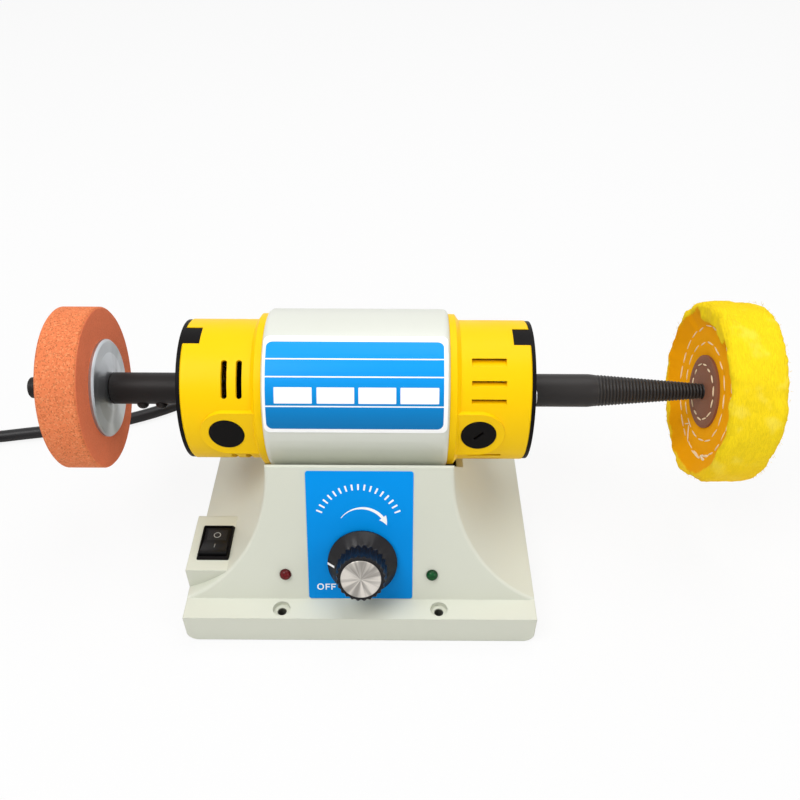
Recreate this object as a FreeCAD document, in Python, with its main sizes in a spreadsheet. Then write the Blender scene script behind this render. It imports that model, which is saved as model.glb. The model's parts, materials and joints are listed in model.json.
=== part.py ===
import FreeCAD, Part
import math
import os
import re
import Sketcher

# Bench polishing and buffing lathe for a dental laboratory.
# A moulded base cradles the round barrel of a universal motor between two yellow end caps.
# The left arbor holds a grinding wheel, and the right taper spindle holds a cotton buff.
# Frame: origin on the bench at the middle of the base, X along the motor shaft with the buff
# at +X, Y towards the back, Z up.

Vector = FreeCAD.Vector
X_AXIS = Vector(1, 0, 0)
Y_AXIS = Vector(0, 1, 0)
Z_AXIS = Vector(0, 0, 1)

SIZES = [
    # Base housing
    ("base_width", 160.0, "footprint along the shaft"),
    ("base_depth", 155.0, "footprint front to back"),
    ("foot_proud", 0.4, "how far the feet stand below the rim"),
    ("lip_height", 16.2, "rim to the top of the front and rear lips"),
    ("lip_depth", 11.4, "front and rear lips"),
    ("lower_round", 5.0, "round of the lower side edges"),
    ("wall", 3.0, "moulded wall"),
    ("side_wall", 7.5, "wall beside the lips"),
    ("bell_radius", 59.3, "hollow curve of the flanks"),
    ("bell_height", 72.0, "rim to where the flanks turn upright"),
    ("cradle_half", 41.6, "half width of the cradle head"),
    ("head_height", 74.5, "rim to the top of the two panels"),
    ("head_rim", 1.5, "flat top of a panel"),
    ("flare_tilt", 44.0, "slope from a panel's top down to the barrel, degrees"),
    ("cavity_height", 54.6, "rim to the top of the hollow"),
    ("panel_tilt", 24.4, "control panel back from upright, degrees"),
    ("rear_tilt", 11.7, "rear face in from upright, degrees"),
    ("panel_round", 1.8, "round along the edges of the two panels"),
    ("axis_back", 7.1, "shaft axis behind the middle of the base"),
    ("axis_height", 81.0, "rim to the shaft axis"),
    ("saddle_gap", 0.2, "saddle round the motor"),
    ("cut_over", 1.0, "overrun of every cut"),
    # Bench screw holes
    ("bench_half_x", 35.85, "hole from the middle along X"),
    ("bench_inset", 5.85, "hole from the edge of the lip"),
    ("bench_hole", 2.1, "hole radius"),
    ("bench_sink", 3.9, "counterbore radius"),
    ("bench_sink_depth", 2.4, "counterbore depth"),
    ("bench_boss", 4.6, "boss radius under the lip"),
    # Bottom plate and feet
    ("plate_sink", 3.0, "rim to the plate's underside"),
    ("plate_sheet", 1.5, "sheet thickness"),
    ("plate_gap", 0.3, "plate to housing"),
    ("post_inset_x", 23.0, "screw posts in from the base's sides"),
    ("post_inset_y", 49.5, "screw posts in from the base's front and back"),
    ("post_radius", 3.6, "screw posts"),
    ("post_cover", 0.5, "flank's skin over the outer side of a post"),
    ("post_bore", 1.55, "hole in a post"),
    ("plate_screw", 1.5, "screw shank radius"),
    ("plate_screw_head", 3.0, "screw head radius"),
    ("plate_screw_head_height", 1.9, "pan head"),
    ("plate_screw_grip", 10.0, "shank length above the head"),
    ("foot_inset_x", 18.0, "feet in from the base's sides"),
    ("foot_inset_y", 17.5, "feet in from the base's front and back"),
    ("foot_radius", 8.0, "foot"),
    ("foot_stem", 2.9, "stem in the plate"),
    ("foot_stem_gap", 0.1, "plate hole round a stem"),
    ("foot_barb", 3.8, "barb above the plate"),
    ("foot_barb_height", 2.2, "barb"),
    ("vent_length", 26.0, "air slots in the plate"),
    ("vent_width", 3.0, "air slots"),
    ("vent_pitch", 8.0, "air slots"),
    # Motor stations, measured outwards from its middle
    ("motor_shift", -1.5, "motor's middle along X"),
    ("barrel_half", 40.7, "barrel from the middle"),
    ("barrel_radius", 37.2, "barrel"),
    ("barrel_bore", 34.1, "bore of the barrel"),
    ("barrel_round", 2.6, "ends of the barrel"),
    ("saddle_screw", 2.0, "screws that hold the barrel down"),
    ("saddle_screw_x", 28.0, "saddle screws from the middle"),
    ("saddle_screw_head", 3.5, "saddle screw heads"),
    ("saddle_screw_head_height", 2.6, "saddle screw heads"),
    ("saddle_screw_gap", 0.1, "hole round a saddle screw"),
    ("cap_flange_width", 3.0, "flange of an end cap"),
    ("cap_cone", 2.0, "slope from the flange to the cap"),
    ("cap_length", 35.7, "flange face to outer end"),
    ("cap_radius", 32.3, "end cap"),
    ("cap_flange_radius", 35.0, "flange"),
    ("cap_wall", 2.5, "side wall"),
    ("cap_end_wall", 3.0, "end wall"),
    ("cap_edge", 0.6, "outer edge chamfer"),
    ("spigot_radius", 34.0, "tube that goes into the barrel"),
    ("spigot_bore", 32.0, "bore of that tube"),
    ("spigot_length", 12.0, "tube in the barrel"),
    ("stator_radius", 34.05, "laminated core, pressed into the barrel"),
    ("stator_half", 22.0, "half the core's length"),
    ("stator_bore", 17.5, "bore of the core"),
    # End cap details
    ("seat_wall", 2.6, "bearing seat tube"),
    ("seat_gap", 0.02, "seat round the bearing"),
    ("cap_hole", 9.0, "shaft opening in the end wall"),
    ("slot_low_station", 50.6, "first round slot of the left cap"),
    ("slot_high_station", 57.1, "second round slot of the left cap"),
    ("slot_width", 2.6, "round slots"),
    ("slot_length", 16.8, "round slots across the cap"),
    ("slot_round", 1.35, "ends of the round slots"),
    ("slot_angle", 45.0, "round slots up from the front, degrees"),
    ("louvre_station", 57.75, "middle of the right cap's louvres"),
    ("louvre_length", 15.1, "louvres along the cap"),
    ("louvre_width", 1.8, "louvres"),
    ("louvre_low", 15.4, "first louvre from the axis height"),
    ("louvre_middle", 21.7, "second louvre"),
    ("louvre_high", 27.7, "third louvre"),
    ("plug_station", 57.4, "blank plug of the left cap"),
    ("brush_station", 53.9, "brush axis of the right cap"),
    ("boss_half", 11.6, "half height of the moulded boss"),
    ("boss_face", 32.6, "boss face from the axis"),
    ("boss_root", 27.0, "boss root from the axis"),
    ("holder_bore", 5.0, "hole for a brush holder"),
    ("holder_gap", 0.05, "holder in its hole"),
    ("plug_radius", 7.8, "black plugs and brush caps"),
    ("plug_gap", 0.08, "plug in its seat"),
    ("plug_seat", 29.6, "seat floor from the axis"),
    ("plug_proud", 0.35, "plug above the boss"),
    ("driver_slot", 1.3, "screwdriver slot width"),
    ("driver_slot_length", 5.4, "screwdriver slot"),
    ("driver_slot_depth", 1.2, "screwdriver slot"),
    ("driver_slot_turn", 46.0, "screwdriver slot, degrees"),
    # End plates
    ("end_plate_sheet", 1.6, "black plate over each cap"),
    ("end_plate_radius", 32.0, "plate"),
    ("end_plate_hole", 5.4, "shaft opening"),
    ("tab_length", 7.5, "clip along the cap"),
    ("tab_sweep", 19.6, "clip round the cap, degrees"),
    ("tab_angle", 85.0, "upper clip up from the front, degrees"),
    ("tab_gap", 0.15, "clip in its notch"),
    ("end_screw_circle", 22.0, "plate screws from the axis"),
    ("end_screw_radius", 1.5, "plate screws"),
    ("end_screw_head", 2.9, "plate screw heads"),
    ("end_screw_head_height", 1.7, "plate screw heads"),
    ("end_screw_gap", 0.05, "hole round a plate screw"),
    # Printed labels
    ("label_sheet", 0.3, "printed labels"),
    ("label_gap", 0.05, "glue under the barrel label"),
    ("label_middle", 41.6, "middle of the barrel label up from the front, degrees"),
    ("label_sweep", 67.4, "barrel label round the barrel, degrees"),
    ("label_length", 79.3, "barrel label"),
    ("label_corner", 2.8, "barrel label corners"),
    ("panel_label_width", 47.4, "panel label"),
    ("panel_label_height", 61.9, "panel label"),
    ("panel_label_foot", 0.45, "panel label up from the foot"),
    ("panel_label_corner", 1.2, "panel label corners"),
    # Rotor
    ("shaft_radius", 4.0, "motor shaft"),
    ("shaft_left", 106.0, "shaft end from the middle, left"),
    ("shaft_right", 103.0, "shaft end from the middle, right"),
    ("fit_gap", 0.02, "parts on the shaft"),
    ("armature_radius", 17.0, "armature core"),
    ("armature_half", 19.0, "armature core"),
    ("winding_radius", 15.0, "end turns"),
    ("winding_length", 10.0, "end turns"),
    ("winding_round", 3.0, "end turns"),
    ("commutator_radius", 11.0, "commutator"),
    ("commutator_length", 16.0, "commutator"),
    ("bearing_radius", 11.0, "bearing"),
    ("bearing_width", 7.0, "bearing"),
    ("bearing_outer_bore", 9.2, "outer ring"),
    ("bearing_inner_rim", 5.8, "inner ring"),
    ("ball_radius", 1.6, "balls"),
    ("ball_circle", 7.5, "balls"),
    ("ball_count", 7.0, "balls in each bearing"),
    ("fan_station", 53.6, "fan from the middle, left"),
    ("fan_radius", 26.5, "fan"),
    ("fan_hub", 8.0, "fan hub"),
    ("fan_width", 9.0, "fan"),
    ("fan_disc", 1.5, "fan back disc"),
    ("blade_count", 9.0, "fan blades"),
    ("blade_sheet", 1.5, "fan blades"),
    ("blade_root", 9.5, "blades from the axis"),
    # Stator winding and brushes
    ("coil_inner", 19.0, "field coils from the axis"),
    ("coil_outer", 26.5, "field coils from the axis"),
    ("coil_overhang", 6.0, "end turns beyond the core"),
    ("coil_sweep", 120.0, "field coil, degrees"),
    ("pole_sweep", 84.0, "pole inside a coil, degrees"),
    ("coil_gap", 0.3, "coil to core"),
    ("coil_gap_sweep", 1.0, "coil to core, degrees"),
    ("holder_wall", 1.0, "brass brush holders"),
    ("holder_inner_end", 13.0, "holder end from the axis"),
    ("brush_radius", 3.88, "carbon brushes"),
    ("brush_length", 12.0, "carbon brushes"),
    ("brush_gap", 0.05, "brush to commutator"),
    ("spring_radius", 3.5, "brush springs"),
    ("spring_wire", 0.6, "brush springs"),
    # Left arbor and grinding wheel
    ("arbor_radius", 7.4, "arbor sleeve"),
    ("arbor_clear", 0.7, "arbor and spindle to the end plates"),
    ("wheel_face", 119.0, "wheel's inner face from the motor's middle"),
    ("wheel_radius", 37.5, "grinding wheel"),
    ("wheel_width", 18.0, "grinding wheel"),
    ("wheel_edge", 0.8, "grinding wheel edges"),
    ("stub_radius", 4.9, "threaded stub"),
    ("stub_gap", 0.1, "wheel and washers on the stub"),
    ("stub_length", 35.5, "stub from the wheel's inner face"),
    ("washer_radius", 22.8, "clamping washers"),
    ("washer_thick", 3.0, "clamping washers"),
    ("washer_hub", 10.5, "flat hub of a washer"),
    ("washer_land", 17.5, "rim that presses on the wheel"),
    ("washer_dish", 0.9, "hollow of a washer"),
    ("nut_across", 17.0, "nut across its flats"),
    ("nut_height", 8.0, "nut"),
    ("set_screw_radius", 2.5, "set screws"),
    ("set_screw_proud", 2.0, "set screws above the arbor"),
    ("set_screw_gap", 0.05, "hole round a set screw"),
    ("set_screw_near", 93.2, "first set screw from the middle"),
    ("set_screw_far", 102.0, "second set screw"),
    ("set_screw_turn", 52.0, "set screws below the front, degrees"),
    # Taper spindle and buff
    ("spindle_radius", 7.7, "plain part"),
    ("spindle_plain", 30.3, "plain part"),
    ("thread_start_radius", 7.0, "taper thread's large end"),
    ("thread_tip_radius", 1.9, "taper thread's tip"),
    ("thread_length", 70.5, "taper thread"),
    ("grub_radius", 2.0, "spindle grub screws"),
    ("grub_near", 87.0, "first grub screw from the middle"),
    ("grub_far", 97.0, "second grub screw"),
    ("grub_sink", 0.4, "grub screws below the surface"),
    ("buff_face", 159.0, "buff's inner face from the motor's middle"),
    ("buff_width", 22.5, "buff"),
    ("buff_radius", 41.5, "buff"),
    ("buff_hub_width", 13.0, "buff pressed between its discs"),
    ("buff_shoulder", 9.0, "rounding from the hub to the rim"),
    ("disc_radius", 17.0, "leather discs"),
    ("disc_sheet", 1.6, "leather discs"),
    ("taper_gap", 0.1, "buff round the taper"),
    # Rocker switch
    ("switch_inset", 11.3, "switch middle in from the base's side"),
    ("switch_setback", 34.7, "switch middle back from the base's front"),
    ("pad_height", 28.1, "rim to the switch pad"),
    ("pad_setback", 17.9, "pad's front edge back from the base's front"),
    ("pad_length", 34.2, "pad front to back"),
    ("pad_reach", 22.0, "pad from the side of the base"),
    ("bezel_width", 15.0, "bezel across"),
    ("bezel_length", 21.0, "bezel front to back"),
    ("bezel_height", 1.6, "bezel"),
    ("bezel_corner", 1.0, "bezel corners"),
    ("switch_body_width", 12.8, "body across"),
    ("switch_body_length", 18.8, "body front to back"),
    ("switch_body_depth", 15.0, "body below the pad"),
    ("switch_cut_gap", 0.2, "cut-out round the body"),
    ("well_width", 11.4, "well for the rocker"),
    ("well_length", 17.2, "well"),
    ("well_depth", 8.5, "well below the pad"),
    ("rocker_width", 11.0, "rocker"),
    ("rocker_half", 8.0, "half length"),
    ("rocker_tilt", 7.0, "tilt each side of level, degrees"),
    ("rocker_height", 4.2, "ends above the pivot"),
    ("rocker_skirt", 2.0, "ends below the pivot"),
    ("rocker_keel", 4.0, "keel below the pivot"),
    ("rocker_keel_half", 4.5, "half length of the keel"),
    ("pivot_depth", 1.6, "pivot below the pad"),
    ("pivot_radius", 1.0, "pivot pins"),
    ("pivot_gap", 0.05, "pivot pins in the body"),
    # Control panel
    ("dial_x", 1.05, "dial from the middle"),
    ("dial_up", 19.1, "dial up the panel from its foot"),
    ("lamp_x", 33.4, "half the distance between the lamps"),
    ("lamp_shift", -0.8, "middle of the lamps along X"),
    ("lamp_up", 12.4, "lamps up the panel"),
    ("lamp_radius", 2.4, "lamps"),
    ("lamp_gap", 0.1, "hole round a lamp"),
    ("lamp_flange", 3.0, "lamp flange"),
    ("lamp_flange_height", 1.0, "lamp flange"),
    ("bush_radius", 3.5, "dial bush"),
    ("bush_gap", 0.1, "panel hole round the bush"),
    ("bush_proud", 6.0, "bush above the panel"),
    ("dial_shaft_radius", 3.0, "dial shaft"),
    ("dial_shaft_gap", 0.05, "shaft in its bush"),
    ("dial_shaft_proud", 15.0, "shaft above the panel"),
    ("dial_shaft_tail", 5.0, "shaft below the panel"),
    ("pot_radius", 8.5, "speed control body"),
    ("pot_depth", 9.0, "speed control body"),
    ("ring_nut_across", 10.0, "ring nut across its flats"),
    ("ring_nut_height", 2.2, "ring nut"),
    ("knob_clear", 0.8, "knob above the label"),
    ("skirt_radius", 15.7, "knob skirt"),
    ("skirt_edge", 1.2, "skirt edge"),
    ("skirt_height", 6.0, "skirt"),
    ("grip_foot_radius", 11.4, "grip at the skirt"),
    ("grip_radius", 10.9, "grip at its top"),
    ("knob_height", 17.0, "knob to its top"),
    ("knob_socket", 8.0, "hollow under the knob"),
    ("knob_socket_depth", 7.0, "hollow under the knob"),
    ("knob_edge", 0.6, "knob's top edge"),
    ("flute_count", 24.0, "grip flutes"),
    ("flute_radius", 1.1, "grip flutes"),
    ("flute_foot", 7.0, "flutes above the knob's underside"),
    ("knob_cap_radius", 8.8, "metal disc"),
    ("knob_cap_sheet", 0.8, "metal disc"),
    ("knob_cap_sink", 0.5, "metal disc's seat"),
    ("knob_cap_gap", 0.05, "metal disc in its seat"),
    # Speed control board
    ("board_x", 14.0, "board middle"),
    ("board_y", 4.0, "board middle"),
    ("board_length", 62.0, "board"),
    ("board_width", 40.0, "board"),
    ("board_sheet", 1.6, "board"),
    ("spacer_height", 6.0, "board spacers"),
    ("spacer_radius", 2.8, "board spacers"),
    ("spacer_inset", 4.5, "spacers from the board's edges"),
    ("part_gap", 0.5, "between parts on the board"),
    ("sink_length", 23.0, "heat sink"),
    ("sink_inset", 1.0, "heat sink from the board's edge"),
    ("sink_fins", 4.0, "heat sink fins"),
    ("sink_height", 18.0, "heat sink"),
    ("sink_sheet", 2.0, "heat sink"),
    ("sink_fin", 9.0, "heat sink fins"),
    ("can_radius", 6.0, "capacitor"),
    ("can_height", 14.0, "capacitor"),
    ("choke_radius", 8.0, "choke"),
    ("choke_core", 3.6, "choke"),
    ("choke_height", 7.0, "choke"),
    ("terminal_length", 20.0, "terminal block"),
    ("terminal_width", 10.0, "terminal block"),
    ("terminal_height", 9.0, "terminal block"),
    # Supply cord
    ("cord_radius", 3.4, "round flexible cord"),
    ("cord_lift", 0.05, "cord above the bench"),
    ("gland_x", -12.0, "gland along X"),
    ("gland_height", 9.1, "gland above the rim"),
    ("gland_flange", 6.4, "gland flange"),
    ("gland_flange_width", 2.4, "gland flange"),
    ("gland_neck", 5.0, "gland in the wall"),
    ("gland_neck_gap", 0.1, "wall round the gland"),
    ("gland_collar", 5.6, "gland behind the wall"),
    ("gland_collar_width", 2.0, "gland behind the wall"),
    ("gland_collar_gap", 0.1, "housing round the collar"),
    ("sleeve_length", 26.0, "bend relief"),
    ("sleeve_root", 5.6, "bend relief at the gland"),
    ("sleeve_tip", 4.3, "bend relief at its tip"),
    ("sleeve_rings", 6.0, "grooves of the bend relief"),
    ("sleeve_groove", 0.7, "groove depth"),
    ("coil_middle", 40.0, "coil's mean radius"),
    ("coil_pitch", 7.5, "turn to turn"),
    ("coil_layer", 7.4, "layer to layer"),
    ("coil_lift", 1.1, "lower layer above the bench"),
    ("tie_sheet", 0.7, "tie"),
    ("tie_width", 6.0, "tie"),
    ("tie_gap", 0.35, "tie round the turns"),
    ("plug_lead", 18.0, "straight cord before the plug"),
    ("plug_body_length", 34.0, "plug body"),
    ("plug_body_neck", 16.2, "plug body at its sleeve"),
    ("plug_body_swell", 13.6, "plug body from its sleeve to its full width"),
    ("plug_body_width", 26.0, "plug body"),
    ("plug_body_nose", 30.0, "plug body at the pins"),
    ("plug_tail_radius", 5.2, "plug's sleeve at the body"),
    ("plug_tail_tip", 4.4, "plug's sleeve at the cord"),
    ("plug_tail_length", 18.0, "plug's sleeve"),
    ("plug_round", 3.0, "plug body's edges"),
    ("pin_radius", 2.4, "plug pins"),
    ("pin_length", 19.0, "plug pins"),
    ("pin_half", 9.5, "half the distance between the pins"),
]

RIM = "foot_proud"
LIP_TOP = "foot_proud + lip_height"
HEAD = "foot_proud + head_height"
BELL_TOP = "foot_proud + bell_height"
AXIS_Z = "foot_proud + axis_height"
PLATE_BOTTOM = "foot_proud + plate_sink"
PLATE_TOP = "foot_proud + plate_sink + plate_sheet"
BENCH_Y = "base_depth / 2 - bench_inset"
PANEL_FOOT = "base_depth / 2 - lip_depth"
PAD_Z = "foot_proud + pad_height"
POST_X = "(base_width / 2 - post_inset_x)"
POST_TOP = (f"({BELL_TOP} - sqrt(bell_radius^2 - (cradle_half + bell_radius"
            f" - {POST_X} - post_radius)^2) - post_cover)")
POST_Y = "(base_depth / 2 - post_inset_y)"
FOOT_X = "(base_width / 2 - foot_inset_x)"
FOOT_Y = "(base_depth / 2 - foot_inset_y)"
SWITCH_X = "(switch_inset - base_width / 2)"
SWITCH_Y = "(switch_setback - base_depth / 2)"
CAP_END = "barrel_half + cap_length"
PLATE_FACE = "barrel_half + cap_length + end_plate_sheet"
BEARING_OUT = "barrel_half + cap_length - cap_end_wall"
BOARD_Z = "foot_proud + plate_sink + plate_sheet + spacer_height"
GLAND_Z = "foot_proud + gland_height"
MOTOR = ("motor_shift", "axis_back", AXIS_Z)

doc = FreeCAD.newDocument("polishing_lathe")
sheet = doc.addObject("Spreadsheet::Sheet", "Sizes")
for row, (alias, number, note) in enumerate(SIZES, start=1):
    sheet.set(f"A{row}", alias)
    sheet.set(f"B{row}", str(number))
    sheet.setAlias(f"B{row}", alias)
    sheet.set(f"C{row}", note)
aliases = {alias for alias, number, note in SIZES}
doc.recompute()

nodes = {}


def bound(text):
    """The text with each size written as a cell of the sheet."""
    return re.sub(r"[a-z][a-z_0-9]*", lambda m: "Sizes." + m[0] if m[0] in aliases else m[0], text)


def value(text):
    """What a size or a sum of sizes comes to now."""
    return float(sheet.evalExpression(bound(text)))


def bind(thing, prop, text):
    thing.setExpression(prop, bound(text))


def place(thing, at, axis=Z_AXIS, turn="0"):
    """Put a thing at three sizes, turned about an axis by an angle that may be a size too."""
    angle = value(turn)
    thing.Placement = FreeCAD.Placement(Vector(0, 0, 0), FreeCAD.Rotation(axis, angle))
    for letter, text in zip("xyz", at):
        bind(thing, "Placement.Base." + letter, text)
    if angle:
        bind(thing, "Placement.Rotation.Angle", turn)


def keep(thing, node):
    """Name a finished sub-part."""
    thing.Label = node
    nodes[node] = thing
    return thing


# Sketches


def pin_point(sketch, edge, end, u, v):
    """Hold an edge's end at two sizes from the sketch's origin."""
    for kind, text, line in (("DistanceX", u, -2), ("DistanceY", v, -1)):
        if text == "0":
            sketch.addConstraint(Sketcher.Constraint("PointOnObject", edge, end, line))
            continue
        index = sketch.addConstraint(Sketcher.Constraint(kind, -1, 1, edge, end, value(text)))
        bind(sketch, f"Constraints[{index}]", text)


def draw(sketch, points):
    """A closed outline. A point is (u, v), or (u, v, radius, side) where an arc leaves it that
    turns left (side 1) or right (side -1)."""
    spots = [Vector(value(p[0]), value(p[1]), 0) for p in points]
    ends = []
    arcs = []
    for i, point in enumerate(points):
        start, stop = spots[i], spots[(i + 1) % len(points)]
        if len(point) == 2:
            edge = sketch.addGeometry(Part.LineSegment(start, stop), False)
            ends.append((edge, 1, 2))
            continue
        radius, side = value(point[2]), point[3]
        chord = stop - start
        rise = math.sqrt(max(radius ** 2 - (chord.Length / 2) ** 2, 0))
        left = Vector(-chord.y, chord.x, 0).normalize()
        centre = (start + stop) / 2 + left * rise * side
        first, last = (start, stop) if side > 0 else (stop, start)
        angles = [math.atan2(spot.y - centre.y, spot.x - centre.x) for spot in (first, last)]
        if angles[1] < angles[0]:
            angles[1] += 2 * math.pi
        circle = Part.Circle(centre, Z_AXIS, radius)
        edge = sketch.addGeometry(Part.ArcOfCircle(circle, *angles), False)
        ends.append((edge, 1, 2) if side > 0 else (edge, 2, 1))
        arcs.append((edge, point[2]))
    for i, (edge, first, last) in enumerate(ends):
        following = ends[(i + 1) % len(ends)]
        joint = Sketcher.Constraint("Coincident", edge, last, following[0], following[1])
        sketch.addConstraint(joint)
        pin_point(sketch, edge, first, points[i][0], points[i][1])
    for edge, radius in arcs:
        index = sketch.addConstraint(Sketcher.Constraint("Radius", edge, value(radius)))
        bind(sketch, f"Constraints[{index}]", radius)


def ring(sketch, u, v, radius):
    """A circle in a sketch."""
    circle = Part.Circle(Vector(value(u), value(v), 0), Z_AXIS, value(radius))
    edge = sketch.addGeometry(circle, False)
    pin_point(sketch, edge, 3, u, v)
    index = sketch.addConstraint(Sketcher.Constraint("Radius", edge, value(radius)))
    bind(sketch, f"Constraints[{index}]", radius)


def rectangle(u_low, v_low, u_high, v_high):
    return [(u_low, v_low), (u_high, v_low), (u_high, v_high), (u_low, v_high)]


def rounded(width, height, corner):
    """A centred rectangle with round corners."""
    w, h = f"({width}) / 2", f"({height}) / 2"
    wi, hi = f"{w} - ({corner})", f"{h} - ({corner})"
    return [
        (f"-({wi})", f"-{h}"), (wi, f"-{h}", corner, 1),
        (w, f"-({hi})"), (w, hi, corner, 1),
        (wi, h), (f"-({wi})", h, corner, 1),
        (f"-{w}", hi), (f"-{w}", f"-({hi})", corner, 1),
    ]


def hexagon(across):
    """A centred hexagon of a size across its flats."""
    half, corner = f"{across} / 2", f"{across} / sqrt(3)"
    side = f"{across} / sqrt(3) / 2"
    return [
        (corner, "0"), (side, half), (f"-{side}", half),
        (f"-{corner}", "0"), (f"-{side}", f"-{half}"), (side, f"-{half}"),
    ]


# Bodies


def plain_body(at, axis=Z_AXIS, turn="0"):
    body = doc.addObject("PartDesign::Body", "body")
    place(body, at, axis, turn)
    return body


def make_body(node, at=("0", "0", "0"), axis=Z_AXIS, turn="0"):
    return keep(plain_body(at, axis, turn), node)


def origin(body, role):
    """An origin plane or axis of a body."""
    return [f for f in body.Origin.OriginFeatures if f.Role == role][0]


def sketch_on(body, role, lift="0", turn="0"):
    """An empty sketch on a body's plane, lifted along its normal or turned about its first axis."""
    sketch = body.newObject("Sketcher::SketchObject", "sketch")
    sketch.AttachmentSupport = (origin(body, role), [""])
    sketch.MapMode = "FlatFace"
    angle = value(turn)
    if angle:
        sketch.AttachmentOffset = FreeCAD.Placement(
            Vector(0, 0, 0), FreeCAD.Rotation(X_AXIS, angle))
        bind(sketch, "AttachmentOffset.Rotation.Angle", turn)
    if lift != "0":
        bind(sketch, "AttachmentOffset.Base.z", lift)
    return sketch


def shaped(body, role, *outlines, rings=(), lift="0", turn="0"):
    """A sketch with outlines and circles."""
    sketch = sketch_on(body, role, lift, turn)
    for outline in outlines:
        draw(sketch, outline)
    for circle in rings:
        ring(sketch, *circle)
    return sketch


def extrude(body, kind, sketch, length, both=False, back=False):
    """A Pad or a Pocket of a sketch."""
    feature = body.newObject("PartDesign::" + kind, kind.lower())
    feature.Profile = sketch
    if both:
        feature.SideType = "Symmetric"
    feature.Reversed = back
    bind(feature, "Length", length)
    return feature


def spin(body, kind, sketch, axis="H_Axis", sweep="360"):
    """A Revolution or a Groove of a sketch, half its sweep on each side of the sketch."""
    feature = body.newObject("PartDesign::" + kind, kind.lower())
    feature.Profile = sketch
    feature.ReferenceAxis = (sketch, [axis])
    feature.Midplane = True
    if sweep == "360":
        feature.Angle = 360
    else:
        bind(feature, "Angle", sweep)
    return feature


def around(body, features, axis, count):
    """Repeat features evenly about an origin axis."""
    pattern = body.newObject("PartDesign::PolarPattern", "around")
    pattern.Originals = features
    pattern.Axis = (origin(body, axis), [""])
    pattern.Angle = 360
    bind(pattern, "Occurrences", count)
    body.Tip = pattern
    return pattern


def mirrored(body, features, plane):
    pattern = body.newObject("PartDesign::Mirrored", "mirror")
    pattern.Originals = features
    pattern.MirrorPlane = (origin(body, plane), [""])
    body.Tip = pattern
    return pattern


def rounding(body, feature, radius, test):
    """Fillet the edges that a test picks by their middle and direction."""
    doc.recompute()
    names = []
    for i, edge in enumerate(feature.Shape.Edges):
        middle = edge.valueAt((edge.FirstParameter + edge.LastParameter) / 2)
        if test(edge, middle):
            names.append(f"Edge{i + 1}")
    fillet = body.newObject("PartDesign::Fillet", "fillet")
    fillet.Base = (feature, names)
    bind(fillet, "Radius", radius)
    return fillet


# Part primitives and booleans

TURNS = {"x": (Y_AXIS, "90"), "y": (X_AXIS, "-90"), "z": (Z_AXIS, "0")}


def rod(radius, length, at, along="z"):
    """A cylinder from a point along an axis."""
    thing = doc.addObject("Part::Cylinder", "rod")
    bind(thing, "Radius", radius)
    bind(thing, "Height", length)
    place(thing, at, *TURNS[along])
    return thing


def block(size, at):
    """A box by its three sizes and its lowest corner."""
    thing = doc.addObject("Part::Box", "block")
    for prop, text in zip(("Length", "Width", "Height"), size):
        bind(thing, prop, text)
    place(thing, at)
    return thing


def cut(base, tool):
    thing = doc.addObject("Part::Cut", "cut")
    thing.Base = base
    thing.Tool = tool
    return thing


def fuse(*shapes):
    thing = doc.addObject("Part::MultiFuse", "fuse")
    thing.Shapes = list(shapes)
    return thing


def common(*shapes):
    thing = doc.addObject("Part::MultiCommon", "common")
    thing.Shapes = list(shapes)
    return thing


def group(node, things):
    """Several solids that share a node."""
    thing = doc.addObject("Part::Compound", node + "_group")
    thing.Links = list(things)
    return keep(thing, node)


def pipe(outer, inner, length, at, along="z"):
    """A tube: a cylinder with a through bore."""
    shift = {"x": 0, "y": 1, "z": 2}[along]
    start = list(at)
    start[shift] = f"{at[shift]} - cut_over"
    bore = rod(inner, f"{length} + 2 * cut_over", start, along)
    return cut(rod(outer, length, at, along), bore)


def prism(outline, along, half):
    """An outline drawn across the base and extruded both ways along X or Y."""
    sketch = doc.addObject("Sketcher::SketchObject", "outline")
    if along == "x":
        sketch.Placement = FreeCAD.Placement(
            Vector(0, 0, 0), FreeCAD.Rotation(Vector(1, 1, 1), 120))
    else:
        sketch.Placement = FreeCAD.Placement(Vector(0, 0, 0), FreeCAD.Rotation(X_AXIS, 90))
    draw(sketch, outline)
    thing = doc.addObject("Part::Extrusion", "prism")
    thing.Base = sketch
    thing.DirMode = "Normal"
    thing.Solid = True
    bind(thing, "LengthFwd", half)
    bind(thing, "LengthRev", half)
    return thing


# Base housing


def bell(half, side, radius, top):
    """The front view: upright sides, hollow flanks and an upright head."""
    centre = "cradle_half + bell_radius"
    foot = f"{BELL_TOP} - sqrt(({radius})^2 - ({centre} - ({side}))^2)"
    return [
        (f"-({side})", RIM), (side, RIM), (side, foot, radius, -1),
        (half, BELL_TOP), (half, top), (f"-({half})", top),
        (f"-({half})", BELL_TOP, radius, -1), (f"-({side})", foot),
    ]


def foot_view(side, top):
    """The front view of the lips, with rounded lower corners."""
    corner = "lower_round"
    return [
        (f"-{side}", f"{RIM} + {corner}", corner, 1), (f"-({side} - {corner})", RIM),
        (f"{side} - {corner}", RIM, corner, 1), (side, f"{RIM} + {corner}"),
        (side, top), (f"-{side}", top),
    ]


def side_view(inset, low, top):
    """The side view above the lips: tilted control panel and rear face, set in by a wall."""
    ends = []
    for sign, tilt in (("-", "panel_tilt"), ("", "rear_tilt")):
        for level in (low, top):
            run = f"(({level}) - ({LIP_TOP})) * tan({tilt})"
            ends.append((f"{sign}({PANEL_FOOT} - {run} - ({inset}) / cos({tilt}))", level))
    return [ends[0], ends[2], ends[3], ends[1]]


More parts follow.
